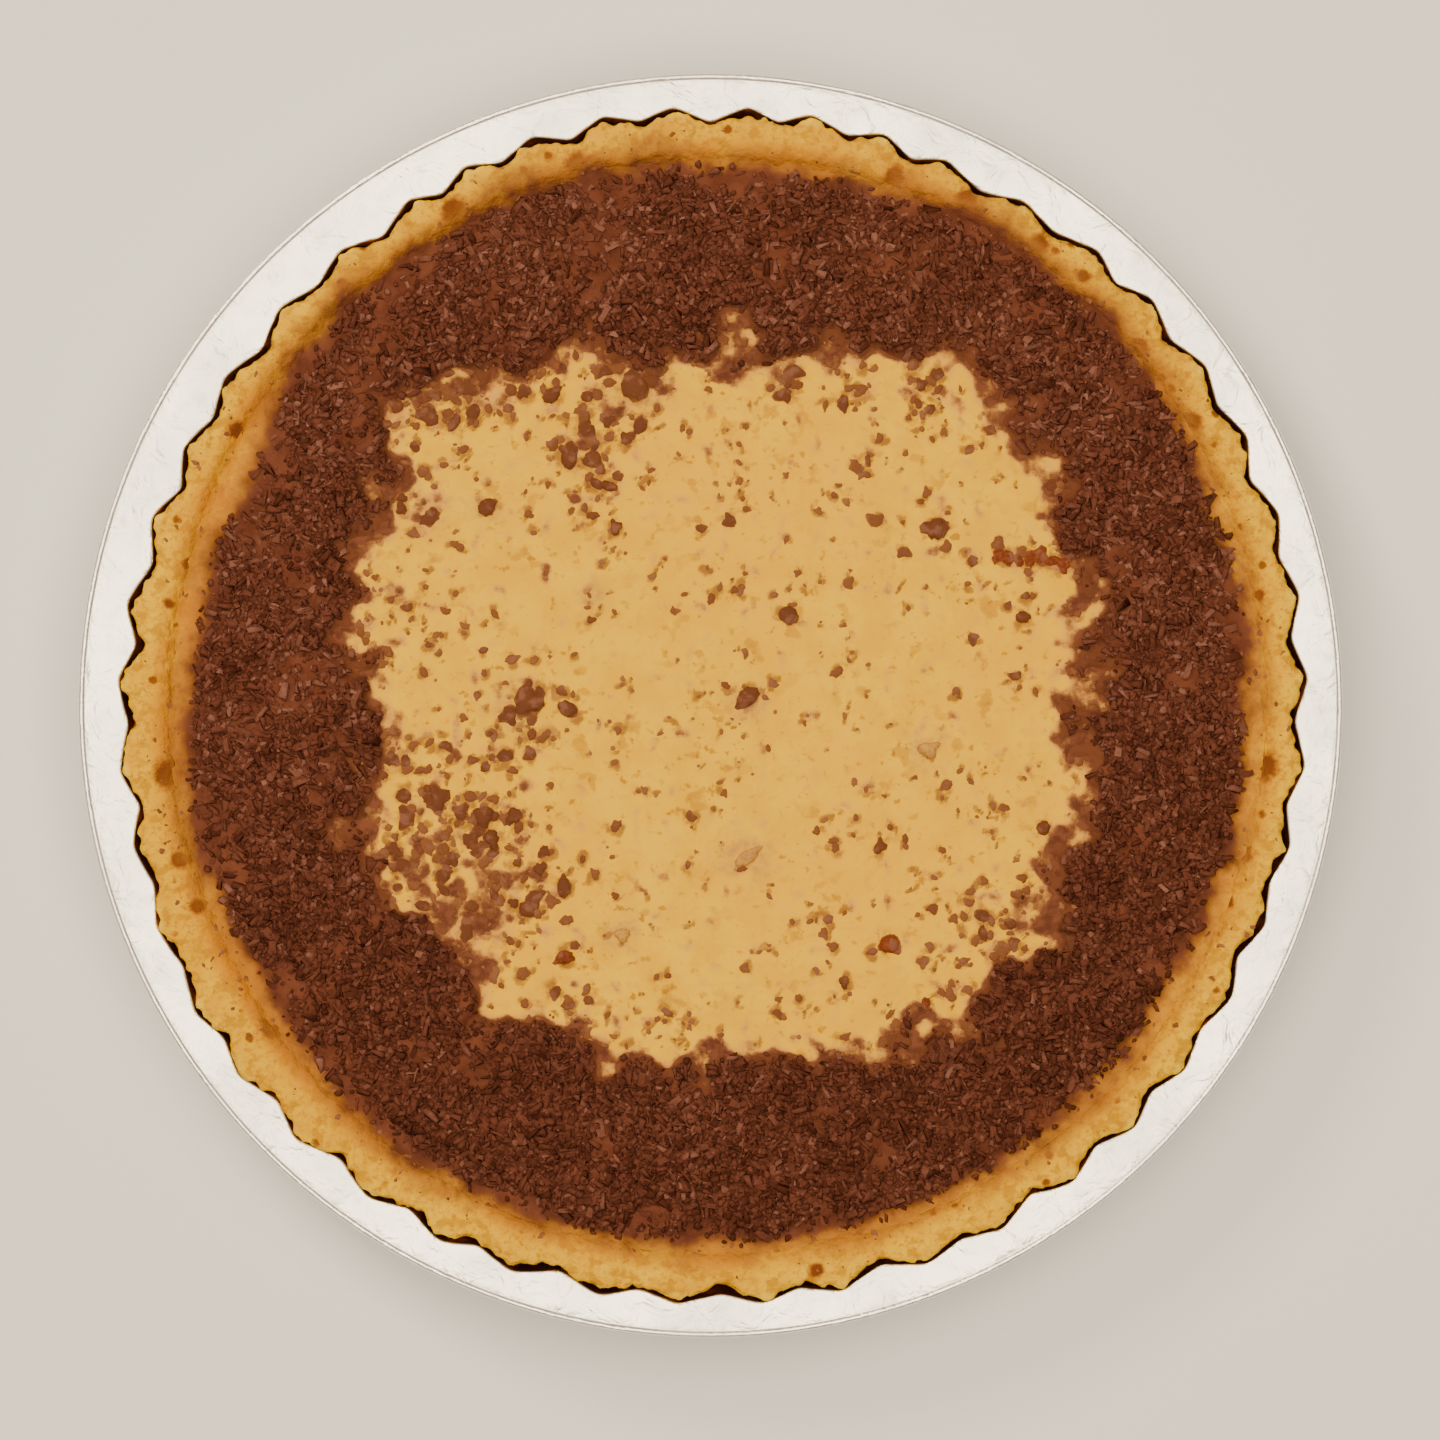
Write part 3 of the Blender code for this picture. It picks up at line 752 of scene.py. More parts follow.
def make_custard(flakes):
    """A level grid pressed round, its edge drawn out to the crust and down to its floor."""
    start_piece()
    half = OPEN_CUSTARD_RADIUS
    bpy.ops.mesh.primitive_grid_add(x_subdivisions=CUSTARD_CELLS, y_subdivisions=CUSTARD_CELLS,
                                    size=2.0 * half, location=(0.0, 0.0, CUSTARD_HEIGHT))
    custard = put_at_origin(named("custard"))
    for vertex in custard.data.vertices:
        u, v = vertex.co.x / half, vertex.co.y / half
        vertex.co.x = half * u * math.sqrt(1.0 - 0.5 * v * v)
        vertex.co.y = half * v * math.sqrt(1.0 - 0.5 * u * u)
    open_mesh('EDGE', 'DESELECT')
    bpy.ops.mesh.select_non_manifold(extend=False)
    radius, height = half, CUSTARD_HEIGHT
    for next_radius, next_height in ((FILLING_RADIUS, CUSTARD_HEIGHT), (0.1049, 0.0172), (0.0976, 0.0062)):
        bpy.ops.mesh.extrude_edges_move(TRANSFORM_OT_translate={"value": (0.0, 0.0, next_height - height)})
        growth = next_radius / radius
        bpy.ops.transform.resize(value=(growth, growth, 1.0), center_override=(0.0, 0.0, next_height))
        radius, height = next_radius, next_height
    bpy.ops.mesh.edge_face_add()
    bpy.ops.mesh.select_all(action='SELECT')
    bpy.ops.mesh.normals_make_consistent(inside=False)
    close_mesh()
    for vertex in custard.data.vertices:
        if vertex.co.z > TOP_SIDE:
            vertex.co.z = custard_top(vertex.co.x, vertex.co.y)
        vertex.co.x += TART_X
    smoothed(custard, 60.0)
    mark_custard(custard, flakes)
    return custard


def bled(x, y):
    """How brown the custard is from chocolate along the bed, under heaped flakes and in films."""
    by_bed = eased((bed_cover(x, y) + 1.15) / 1.35)
    run_together = eased(0.24 * heap_share(x, y) - 0.14 + 1.05 * uneven(x, y, 0.0036, 27))
    stray = 0.45 * uneven(x, y, 0.0040, 28)
    film = max(eased(1.25 - math.hypot(x - film_x, y - film_y) / size + stray)
               for film_x, film_y, size in FILMS)
    return max(by_bed, 0.78 * run_together, 0.90 * film)


def mark_custard(custard, flakes):
    """Marks the brown that has bled round each flake and along the chocolate's edge."""
    places = np.array([tuple(vertex.co) for vertex in custard.data.vertices])
    places[:, 0] -= TART_X
    strayed = np.array([(x + 0.0020 * uneven(x, y, 0.0026, 24), y + 0.0020 * uneven(x, y, 0.0026, 25))
                        for x, y, _ in places])
    stain = np.zeros(len(places))
    for x, y, length in flakes:
        near = np.nonzero((np.abs(strayed[:, 0] - x) < 0.012) & (np.abs(strayed[:, 1] - y) < 0.012))[0]
        away = np.hypot(strayed[near, 0] - x, strayed[near, 1] - y)
        reach = 0.46 * length + 0.0003
        stain[near] = np.maximum(stain[near], np.exp(-(away / reach) ** 2.4))
    smudge = np.zeros(len(places))
    for x, y, size in SMUDGES:
        wobble = np.array([1.0 + 0.9 * uneven(px, py, 0.0038, 17) for px, py, _ in places])
        away = np.hypot(places[:, 0] - x, places[:, 1] - y) / (size * wobble)
        smudge = np.maximum(smudge, np.exp(-away ** 2.4))
    mark(custard, "stain", stain)
    mark(custard, "smudge", smudge)
    mark_places(custard, {"edge": bled})


# The chocolate bed

def smooth_patch(x, y):
    """0 where the chocolate is loose grains, 1 where it has melted smooth."""
    radius = math.hypot(x, y)
    outer = eased((radius - 0.1018 - 0.009 * uneven(x, y, 0.011, 18)) / 0.0050)
    patch = eased((uneven(x, y, 0.0105, 19) - 0.12 - 0.16 * richness(x, y)) / 0.22)
    by_custard = eased(1.0 - bed_cover(x, y) / 0.9)
    return max(0.80 * outer, 0.72 * patch, 0.70 * by_custard)


def make_bed():
    """A turned ring over the custard's edge, with the heaped and melted relief raised on it."""
    top = [(BED_INNER_RADIUS, CUSTARD_HEIGHT - 0.0004), (BED_OUTER_RADIUS, CUSTARD_HEIGHT + 0.0010)]
    top = stepped(top, 0.00054)
    base = CUSTARD_HEIGHT - BED_UNDER
    under = stepped([(BED_OUTER_RADIUS, base), (BED_INNER_RADIUS, base)], 0.0090)
    bed = turned("chocolate_bed", top + under + [top[0]], BED_COLUMNS)
    for vertex in bed.data.vertices:
        x, y, z = vertex.co
        if z > TOP_SIDE:
            vertex.co.z = bed_top(x, y)
        vertex.co.x += TART_X
    weights = []
    for vertex in bed.data.vertices:
        x, y = vertex.co.x - TART_X, vertex.co.y
        above = clamped(bed_cover(x, y) * 1.5) if vertex.co.z > TOP_SIDE else 0.0
        weights.append(above * (1.0 - 0.8 * smooth_patch(x, y)))
    roughen(bed, 'VORONOI', 0.0017, -0.0011, weights)
    smoothed(bed, 70.0)
    mark_places(bed, {"melted": smooth_patch, "thin": lambda x, y: 1.0 - eased(bed_cover(x, y) / 1.2),
                      "inner": lambda x, y: 1.0, **dusting()})
    return bed


# Small pieces of chocolate, each modelled once and copied by the thousand

def small_piece(name, settle_seed, jitter):
    """Shakes the points of the new primitive a little and takes it out of the scene."""
    open_mesh('VERT')
    bpy.ops.transform.vertex_random(offset=jitter, uniform=1.0, seed=settle_seed)
    bpy.ops.mesh.quads_convert_to_tris()
    bpy.ops.mesh.normals_make_consistent(inside=False)
    close_mesh()
    piece = put_at_origin(named(name))
    points = np.array([tuple(vertex.co) for vertex in piece.data.vertices])
    faces = np.array([tuple(face.vertices) for face in piece.data.polygons])
    bpy.data.objects.remove(piece, do_unlink=True)
    return points, faces


def grain_shape(seed):
    """A worn granule, a little longer than wide."""
    start_piece()
    bpy.ops.mesh.primitive_ico_sphere_add(subdivisions=1, radius=0.5, scale=(1.0, 0.72, 0.62))
    return small_piece("grain", seed, 0.10)


def sliver_shape(seed):
    """A grated splinter: a bar with one end drawn thinner."""
    start_piece()
    bpy.ops.mesh.primitive_cube_add(size=1.0, scale=(1.0, 0.42, 0.34))
    sliver = bpy.context.object
    bpy.ops.object.transform_apply(scale=True)
    open_mesh('FACE', 'DESELECT')
    close_mesh()
    for face in sliver.data.polygons:
        face.select = face.normal.x > 0.9
    bpy.ops.object.mode_set(mode='EDIT')
    bpy.ops.transform.resize(value=(1.0, 0.5, 0.6), center_override=(0.5, 0.0, 0.0))
    return small_piece("sliver", seed, 0.09)


def curl_shape(seed):
    """A shaving: a flat strip, cut across and bent into an arch."""
    draw = random.Random(seed)
    start_piece()
    bpy.ops.mesh.primitive_cube_add(size=1.0, scale=(1.0, 0.13, 0.36))
    curl = bpy.context.object
    bpy.ops.object.transform_apply(scale=True)
    open_mesh('EDGE', 'DESELECT')
    close_mesh()
    for edge in curl.data.edges:
        start, end = (curl.data.vertices[index].co for index in edge.vertices)
        edge.select = abs(start.x - end.x) > 0.5
    bpy.ops.object.mode_set(mode='EDIT')
    bpy.ops.mesh.subdivide(number_cuts=4)
    close_mesh()
    bend = curl.modifiers.new("bend", 'SIMPLE_DEFORM')
    bend.deform_method = 'BEND'
    bend.deform_axis = 'Z'
    bend.angle = draw.uniform(0.9, 1.8)
    bpy.ops.object.modifier_apply(modifier=bend.name)
    curl.rotation_euler.x = math.radians(-90.0)
    return small_piece("curl", seed, 0.035)


def flake_shape(seed, levels):
    """A crumb of one to three lobes with a thin rim all round, raised in narrowing levels."""
    draw = random.Random(seed)
    lobes = [(0.0, 0.0, draw.uniform(0.30, 0.42))]
    for _ in range(seed % 3):
        lobe_turn = draw.uniform(0.0, math.tau)
        lobes.append((*around(draw.uniform(0.22, 0.42), lobe_turn), draw.uniform(0.16, 0.28)))
    start_piece()
    bpy.ops.mesh.primitive_circle_add(vertices=18, radius=1.0, fill_type='TRIFAN')
    flake = bpy.context.object
    for vertex in flake.data.vertices:
        length = vertex.co.length
        if length < 0.1:
            continue
        reach = 0.0
        for x, y, size in lobes:
            along = (x * vertex.co.x + y * vertex.co.y) / length
            spare = size * size - x * x - y * y + along * along
            if spare > 0.0:
                reach = max(reach, along + math.sqrt(spare))
        vertex.co *= reach * draw.uniform(0.86, 1.14) / length
    open_mesh('FACE')
    for rise, narrowing in levels:
        bpy.ops.mesh.extrude_region_move(TRANSFORM_OT_translate={"value": (0.0, 0.0, rise)})
        bpy.ops.transform.resize(value=(narrowing, narrowing, 1.0), center_override=(0.0, 0.0, 0.0))
    return small_piece("flake", seed, 0.030)


class Ground:
    """What lies under the small pieces: the height of the highest surface at a place."""

    def __init__(self, pieces):
        points, faces = [], []
        for piece in pieces:
            offset = len(points)
            points.extend(vertex.co.copy() for vertex in piece.data.vertices)
            faces.extend([offset + index for index in face.vertices] for face in piece.data.polygons)
        self.tree = BVHTree.FromPolygons(points, faces)

    def height(self, x, y):
        hit, _, _, _ = self.tree.ray_cast(Vector((TART_X + x, y, 0.08)), Vector((0.0, 0.0, -1.0)))
        return hit.z if hit else None


def strewn(name, shapes, spots):
    """One mesh of many small copies. A spot is a place, a size, a turn and a shade."""
    draw = random.Random(SCATTER_SEED + len(spots))
    points, faces, shades, rises = [], [], [], []
    count = 0
    for place, size, turn, shade in spots:
        shape_points, shape_faces = draw.choice(shapes)
        matrix = np.array(Euler(turn).to_matrix())
        points.append((shape_points * size) @ matrix.T + place)
        faces.append(shape_faces + count)
        shades.append(np.full(len(shape_points), shade))
        lowest, highest = shape_points[:, 2].min(), shape_points[:, 2].max()
        rises.append((shape_points[:, 2] - lowest) / (highest - lowest))
        count += len(shape_points)
    mesh = bpy.data.meshes.new(name)
    mesh.from_pydata(np.concatenate(points), [], np.concatenate(faces), shade_flat=False)
    piece = bpy.data.objects.new(name, mesh)
    bpy.context.scene.collection.objects.link(piece)
    mark(piece, "shade", np.concatenate(shades))
    mark(piece, "rise", np.concatenate(rises))
    return piece


def bed_place(draw):
    """A random place over the chocolate bed, out to the lip of the crust."""
    least = min(radius for _, radius in BED_EDGE) - 0.004
    radius = math.sqrt(draw.uniform(least ** 2, GRATED_RADIUS ** 2))
    return around(radius, draw.uniform(0.0, math.tau))


def tumbled(draw, tilt):
    """A random turn: tilted a little, and any way round."""
    return draw.uniform(-tilt, tilt), draw.uniform(-tilt, tilt), draw.uniform(0.0, 6.28)


def bed_spots(count, lengths, sink, lift, tilt, seed, ground, near_edge):
    """Spots on the bed: dense where it is loose, sparse where it has melted."""
    draw = random.Random(seed)
    spots = []
    while len(spots) < count:
        x, y = bed_place(draw)
        cover = bed_cover(x, y)
        inside = clamped((by_angle(DUST_EDGE, x, y) - 0.0004 - math.hypot(x, y)) / 0.0042)
        wanted = clamped((cover + near_edge) * 1.2) * (1.0 - 0.93 * smooth_patch(x, y)) * inside
        if draw.random() > wanted:
            continue
        length = lengths[0] + (lengths[1] - lengths[0]) * draw.random() ** 2.2
        size = np.array((length, length * draw.uniform(0.75, 1.1), length * draw.uniform(0.75, 1.1)))
        height = ground.height(x, y) + draw.uniform(-sink, lift) * length
        turn = tumbled(draw, tilt)
        shade = 0.53 + 0.24 * draw.gauss(0.0, 1.0) + 0.22 * uneven(x, y, 0.010, 20) - 0.15 * richness(x, y)
        spots.append((np.array((TART_X + x, y, height)), size, turn, clamped(shade)))
    return spots


def loose_flakes(count, seed):
    """Places and lengths of the small flakes strewn over the bare custard, in loose clusters."""
    draw = random.Random(seed)
    flakes = []
    while len(flakes) < count:
        radius = 0.090 * math.sqrt(draw.random())
        x, y = around(radius, draw.uniform(0.0, math.tau))
        cover = bed_cover(x, y)
        if cover > 0.1:
            continue
        heaped = heap_share(x, y)
        drift = 0.30 + 1.4 * eased(0.5 + 1.6 * uneven(x, y, 0.0090, 26))
        wanted = (0.22 + 0.92 * math.exp(cover * 0.75)) * drift + 1.1 * heaped
        if 1.9 * draw.random() > wanted:
            continue
        largest = 0.0017 + 0.0023 * clamped(heaped + 0.3 * math.exp(cover))
        flakes.append((x, y, 0.0009 + largest * draw.random() ** 2.2))
    return flakes


def flake_spots(flakes, seed, ground):
    """Spots of flakes on the custard: the larger they are, the darker, but for a few."""
    draw = random.Random(seed)
    spots = []
    for x, y, length in flakes:
        size = np.array((length * draw.uniform(1.0, 1.4), length * draw.uniform(0.65, 1.1),
                         min(FLAKE_HEIGHT_SHARE * length, HIGHEST_FLAKE) * draw.uniform(0.8, 1.1)))
        turn = tumbled(draw, 0.08)
        place = np.array((TART_X + x, y, ground.height(x, y) - 0.05 * size[2]))
        shade = clamped(1.0 - length / 0.0042 + draw.uniform(-0.2, 0.2))
        if (x, y, length) in RED_FLAKES + RED_LUMPS:
            shade = RED_SHADE
        if (x, y, length) in SUNKEN_LUMPS:
            shade = SUNKEN_SHADE
        spots.append((place, size, turn, shade))
    return spots


def rim_spots(count, seed, ground):
    """Specks of chocolate that have landed on the crust's rim."""
    draw = random.Random(seed)
    spots = []
    while len(spots) < count:
        angle = draw.uniform(0.0, math.tau)
        x, y = around(0.1080 + 0.0075 * draw.random() ** 1.3, angle)
        under = ground.height(x, y)
        if under is None:
            continue
        length = 0.0008 + 0.0018 * draw.random() ** 2.2
        size = np.array((length, length * draw.uniform(0.6, 0.95), length * 0.45))
        turn = tumbled(draw, 0.4)
        height = under - 0.10 * length
        spots.append((np.array((TART_X + x, y, height)), size, turn, draw.uniform(0.2, 0.9)))
    return spots


# Finishes

class Tone:
    """The output of a shader node, with sums on it that add their Math nodes."""

    def __init__(self, finish, socket):
        self.finish = finish
        self.socket = socket

    def worked(self, operation, *terms):
        return self.finish.node('ShaderNodeMath', {"operation": operation}, dict(enumerate(terms)))

    def __add__(self, other):
        return self.worked('ADD', self, other)

    def __sub__(self, other):
        return self.worked('SUBTRACT', self, other)

    def __rsub__(self, other):
        return self.worked('SUBTRACT', other, self)

    def __mul__(self, other):
        return self.worked('MULTIPLY', self, other)

    def __abs__(self):
        return self.worked('ABSOLUTE', self)

    __radd__ = __add__
    __rmul__ = __mul__


class Finish:
    """One material. Its patterns lie in the metres of the tart's own frame."""

    def __init__(self, name, **constants):
        self.material = bpy.data.materials.new(name)
        self.material.use_nodes = True
        self.nodes = self.material.node_tree.nodes
        self.links = self.material.node_tree.links
        self.shader = self.nodes["Principled BSDF"]
        for socket, value in constants.items():
            self.shader.inputs[socket.replace("_", " ")].default_value = value
        self.frame = self.node('ShaderNodeTexCoord', {}, {}, output="Object")

    def node(self, kind, settings, sockets, output=0):
        """Adds a node of a kind, with its settings and then its sockets' values or links."""
        made = self.nodes.new(kind)
        for setting, value in settings.items():
            setattr(made, setting, value)
        for socket, value in sockets.items():
            if isinstance(value, Tone):
                self.links.new(value.socket, made.inputs[socket])
            else:
                made.inputs[socket].default_value = value
        return Tone(self, made.outputs[output])

    def clouds(self, size, detail=2.0, roughness=0.5, distortion=0.0, frame=None):
        """Soft noise whose patches are about this many metres across."""
        return self.node('ShaderNodeTexNoise', {}, {
            "Vector": frame or self.frame, "Scale": 1.0 / size, "Detail": detail,
            "Roughness": roughness, "Distortion": distortion})

    def cells(self, size, output="Distance", frame=None):
        """Cells of about this many metres, as the distance to their points or a colour each."""
        sockets = {"Vector": frame or self.frame, "Scale": 1.0 / size}
        return self.node('ShaderNodeTexVoronoi', {}, sockets, output)

    def between(self, value, low, high):
        """0 below low and 1 above high, eased between; low may be the larger."""
        return self.node('ShaderNodeMapRange', {"interpolation_type": 'SMOOTHSTEP'}, {
            "Value": value, "From Min": low, "From Max": high, "To Min": 0.0, "To Max": 1.0})

    def marked(self, name):
        return self.node('ShaderNodeAttribute', {"attribute_name": name}, {}, output="Fac")

    def red_of(self, tone):
        return self.node('ShaderNodeSeparateColor', {}, {"Color": tone}, output="Red")

    def mix(self, share, ground, tint):
        """A tint laid over a ground. Each is a tone, or its red, green and blue."""
        ground, tint = (tone if isinstance(tone, Tone) else (*tone, 1.0) for tone in (ground, tint))
        return self.node('ShaderNodeMix', {"data_type": 'RGBA'}, {0: share, 6: ground, 7: tint}, output=2)

    def over(self, ground, tint, value, low, high, most=1.0):
        """A tint laid over a ground more and more as a value climbs from low to high."""
        share = self.between(value, low, high)
        return self.mix(share * most if most < 1.0 else share, ground, tint)

    def shifted(self, x, y, z):
        """The frame moved, so that a second pattern doesn't repeat the first."""
        return self.node('ShaderNodeMapping', {}, {"Vector": self.frame, "Location": (x, y, z)})

    def dusted(self, ground, chocolate, crumb):
        """Chocolate dust over a ground, in a soft brown veil where it thins out."""
        soft = self.marked("veil") + (crumb - 0.5) * 0.20
        veiled = self.over(ground, (0.345, 0.128, 0.021), soft, 0.0, 0.52, 0.80)
        return self.over(veiled, chocolate, self.marked("dust") + (crumb - 0.5) * 0.45, 0.30, 1.0)

    def paint(self, socket, value):
        self.links.new(value.socket, self.shader.inputs[socket])

    def relief(self, height):
        """Bump from a height in metres."""
        sockets = {"Height": height, "Distance": 1.0, "Strength": 1.0}
        self.paint("Normal", self.node('ShaderNodeBump', {}, sockets, output="Normal"))


# Colours that more than one finish has.
GOLDEN = (0.745, 0.388, 0.0005)
CHOCOLATE_DARK = (0.060, 0.017, 0.009)
CHOCOLATE_MID = (0.118, 0.037, 0.022)
CHOCOLATE_LIGHT = (0.235, 0.100, 0.070)
MELTED_DARK = (0.105, 0.030, 0.015)
MELTED_LIGHT = (0.160, 0.050, 0.026)

# How strongly chocolate shines, and custard and pastry.
MATTE = 0.04
DULL = 0.01


def foil_finish():
    """Bright satin foil with fine creases and dull handled patches, its inner wall down the gap beside the
    crust painted dark brown as painted shade and baked-on stain.
    """
    foil = Finish("foil", Metallic=1.0)
    patches = foil.between(foil.clouds(0.019, detail=3.0), 0.35, 0.70)
    streaks = foil.between(foil.clouds(0.0042, detail=4.0, roughness=0.6), 0.45, 0.75)
    dull = foil.between(foil.cells(0.011, frame=foil.shifted(0.3, 0.1, 0.0)), 0.16, 0.03)
    bright = foil.mix(patches, (0.97, 0.94, 0.890), (0.92, 0.89, 0.850))
    marked = foil.mix(streaks * 0.25, bright, (0.74, 0.72, 0.70))
    smeared = foil.mix(dull * 0.25, marked, (0.55, 0.53, 0.51))
    stuck = foil.between(foil.clouds(0.0060, detail=3.0), 0.52, 0.66)
    # Painted shade with baked-on stain and stuck crumbs on the inner wall, in the narrow gap beside the
    # crust.
    gap_shade_and_stain = foil.mix(stuck, (0.150, 0.052, 0.012), (0.42, 0.175, 0.045))
    foil.paint("Base Color", foil.mix(foil.marked("inner_wall"), smeared, gap_shade_and_stain))
    foil.paint("Roughness", 0.36 + patches * 0.10 + streaks * 0.06)
    crease = foil.clouds(0.0065, detail=3.0, roughness=0.55, distortion=0.6)
    creased = abs(crease - 0.5) * (foil.marked("flange") * 0.00050 + 0.00026)
    foil.relief(creased + foil.clouds(0.0011) * 0.000030)
    return foil.material


def baked(finish, crumb, patches):
    """Golden shortcrust, browner inwards and in toasted patches, with dark specks."""
    broad = finish.clouds(0.018, detail=3.0)
    golden = finish.over(GOLDEN, (0.81, 0.470, 0.0005), patches, 0.36, 0.66)
    toast = finish.between(broad + finish.marked("toast") * 0.35, 0.50, 0.76)
    within = finish.marked("inner") * 0.75 + 0.25
    toasted = finish.mix(toast * within * 0.85, golden, (0.52, 0.165, 0.006))
    streaks = finish.clouds(0.0034, detail=3.0, roughness=0.6, frame=finish.shifted(0.21, 0.33, 0.12))
    streaked = finish.over(toasted, (0.46, 0.205, 0.002), streaks, 0.50, 0.62, 0.70)
    inner = finish.marked("inner") * finish.between(patches, 0.30, 0.60)
    browner = finish.mix(inner * 0.60, streaked, (0.52, 0.165, 0.010))
    grained = finish.over(browner, (0.51, 0.19, 0.004), crumb, 0.50, 0.68, 0.55)
    pick = finish.red_of(finish.cells(0.0046, output="Color"))
    near_point = finish.between(finish.cells(0.0046) + (crumb - 0.5) * 0.3, 0.27, 0.10)
    speck = near_point * finish.between(pick, 0.54, 0.58)
    ringed = finish.over(grained, (0.42, 0.140, 0.010), speck, 0.0, 0.5, 0.70)
    return finish.over(ringed, (0.19, 0.052, 0.010), speck, 0.3, 1.0, 0.85), speck


def pastry_finish():
    """Baked shortcrust: golden, paler at the edge, partly as a painted highlight, toasted in patches,
    dusted by the filling.
    """
    pastry = Finish("pastry", Roughness=0.75, Specular_IOR_Level=DULL)
    patches = pastry.clouds(0.0052, detail=4.0, roughness=0.6)
    crumb = pastry.clouds(0.0012, detail=3.0, roughness=0.65)
    crust, speck = baked(pastry, crumb, patches)
    # Paler at the outer edge: partly less baked pastry, partly a painted highlight on the shoulder.
    edge = pastry.marked("pale") * (0.35 + pastry.between(patches, 0.35, 0.60) * 0.65)
    pale_and_highlit = pastry.mix(edge, crust, (0.90, 0.57, 0.035))
    scorch = pastry.marked("burnt") + (patches - 0.5) * 0.9 + (crumb - 0.5) * 0.6
    singed = pastry.over(pale_and_highlit, (0.40, 0.126, 0.012), scorch, 0.06, 0.40, 0.65)
    spotted = pastry.over(singed, (0.158, 0.042, 0.012), scorch, 0.22, 0.62, 0.95)
    pastry.paint("Base Color", pastry.dusted(spotted, pastry.mix(crumb, MELTED_DARK, MELTED_LIGHT), crumb))
    pastry.relief(crumb * 0.00045 + patches * 0.00060 - speck * 0.0001)
    return pastry.material


def custard_finish():
    """Set custard: satin, softly clouded, with sunken specks and brown bled from the flakes."""
    custard = Finish("custard", Specular_IOR_Level=DULL)
    broad = custard.clouds(0.030)
    soft = custard.clouds(0.0075, detail=3.0)
    fine = custard.clouds(0.0019)
    crumb = custard.clouds(0.0009, frame=custard.shifted(0.05, 0.02, 0.0))
    plain = custard.over((0.76, 0.405, 0.0005), (0.84, 0.475, 0.001), soft, 0.32, 0.68)
    clouded = custard.over(plain, (0.80, 0.405, 0.004), broad, 0.46, 0.66, 0.5)
    grained = custard.over(clouded, (0.66, 0.30, 0.006), fine, 0.50, 0.72, 0.30)

    drifts = custard.clouds(0.016, frame=custard.shifted(0.2, 0.0, 0.1))
    spread = custard.between(drifts, 0.36, 0.60)
    blobs = custard.clouds(0.0042, detail=3.0, roughness=0.55, frame=custard.shifted(0.11, 0.07, 0.03))
    sunk = custard.between(blobs, 0.575, 0.67) * (spread * 0.7 + 0.3)
    dots = custard.clouds(0.0020, frame=custard.shifted(0.31, 0.17, 0.23))
    dotted = custard.between(dots, 0.625, 0.73) * (spread * 0.5 + 0.5)
    sunken = custard.mix(sunk * 0.55, grained, (0.44, 0.175, 0.012))
    specked = custard.mix(dotted * 0.70, sunken, (0.34, 0.120, 0.008))

    stain = custard.marked("stain")
    halo = custard.mix(stain * 0.45, specked, (0.56, 0.255, 0.045))
    grainy = (fine - 0.5) * 0.7
    core = custard.between(stain + (crumb - 0.5) * 0.7 + grainy, 0.30, 0.95)
    stained = custard.mix(core * 0.80, halo, (0.250, 0.094, 0.024))
    veil = custard.marked("smudge") * (0.30 + custard.between(fine, 0.35, 0.70) * 0.45)
    smudged = custard.mix(veil, stained, (0.40, 0.185, 0.085))

    edge = custard.marked("edge")
    fringe = custard.over(smudged, (0.62, 0.292, 0.072), edge, 0.0, 0.6, 0.80)
    frayed = edge + (blobs - 0.5) * 1.3 + grainy + (crumb - 0.5) * 0.2
    tinged = custard.over(fringe, (0.34, 0.138, 0.044), frayed, 0.26, 0.62, 0.80)
    brown = custard.over((0.108, 0.034, 0.018), (0.172, 0.058, 0.029), fine, 0.35, 0.65)
    torn = custard.between(frayed, 0.46, 0.82)
    custard.paint("Base Color", custard.mix(torn, tinged, brown))
    custard.paint("Roughness", 0.44 + fine * 0.12)
    custard.relief(soft * 0.00016 + fine * 0.00005 + core * 0.00025 + torn * 0.00035 - sunk * 0.00008)
    return custard.material


def bed_finish():
    """Chocolate packed and partly melted: matte brown, redder and smoother where it melted."""
    bed = Finish("chocolate bed", Roughness=0.70, Specular_IOR_Level=MATTE)
    patches = bed.clouds(0.0058, detail=3.0)
    crumb = bed.clouds(0.0013, detail=3.0, roughness=0.6)
    loose = bed.over(CHOCOLATE_DARK, CHOCOLATE_MID, crumb, 0.35, 0.68)
    melted = bed.over(MELTED_DARK, MELTED_LIGHT, patches, 0.35, 0.65)
    base = bed.mix(bed.marked("melted"), loose, melted)
    thin = bed.marked("thin") + (crumb - 0.5) * 0.5
    thinned = bed.over(base, (0.150, 0.051, 0.020), thin, 0.45, 1.05, 0.65)
    crust, _ = baked(bed, crumb, bed.clouds(0.0052, detail=4.0, roughness=0.6))
    bed.paint("Base Color", bed.dusted(crust, thinned, crumb))
    bed.relief(crumb * 0.00034 + patches * 0.00020)
    return bed.material


def chocolate_finish(name, lightness):
    """Grated chocolate, each piece with its own shade between dark and bloomed."""
    chocolate = Finish(name, Roughness=0.66, Specular_IOR_Level=MATTE)
    shade = chocolate.marked("shade")
    crumb = chocolate.clouds(0.0008)
    value = shade * 0.80 + crumb * 0.35 + (lightness - 0.20)
    dark = chocolate.over(CHOCOLATE_DARK, CHOCOLATE_MID, value, 0.10, 0.55)
    chocolate.paint("Base Color", chocolate.over(dark, CHOCOLATE_LIGHT, value, 0.55, 1.05))
    chocolate.relief(crumb * 0.00020)
    return chocolate.material


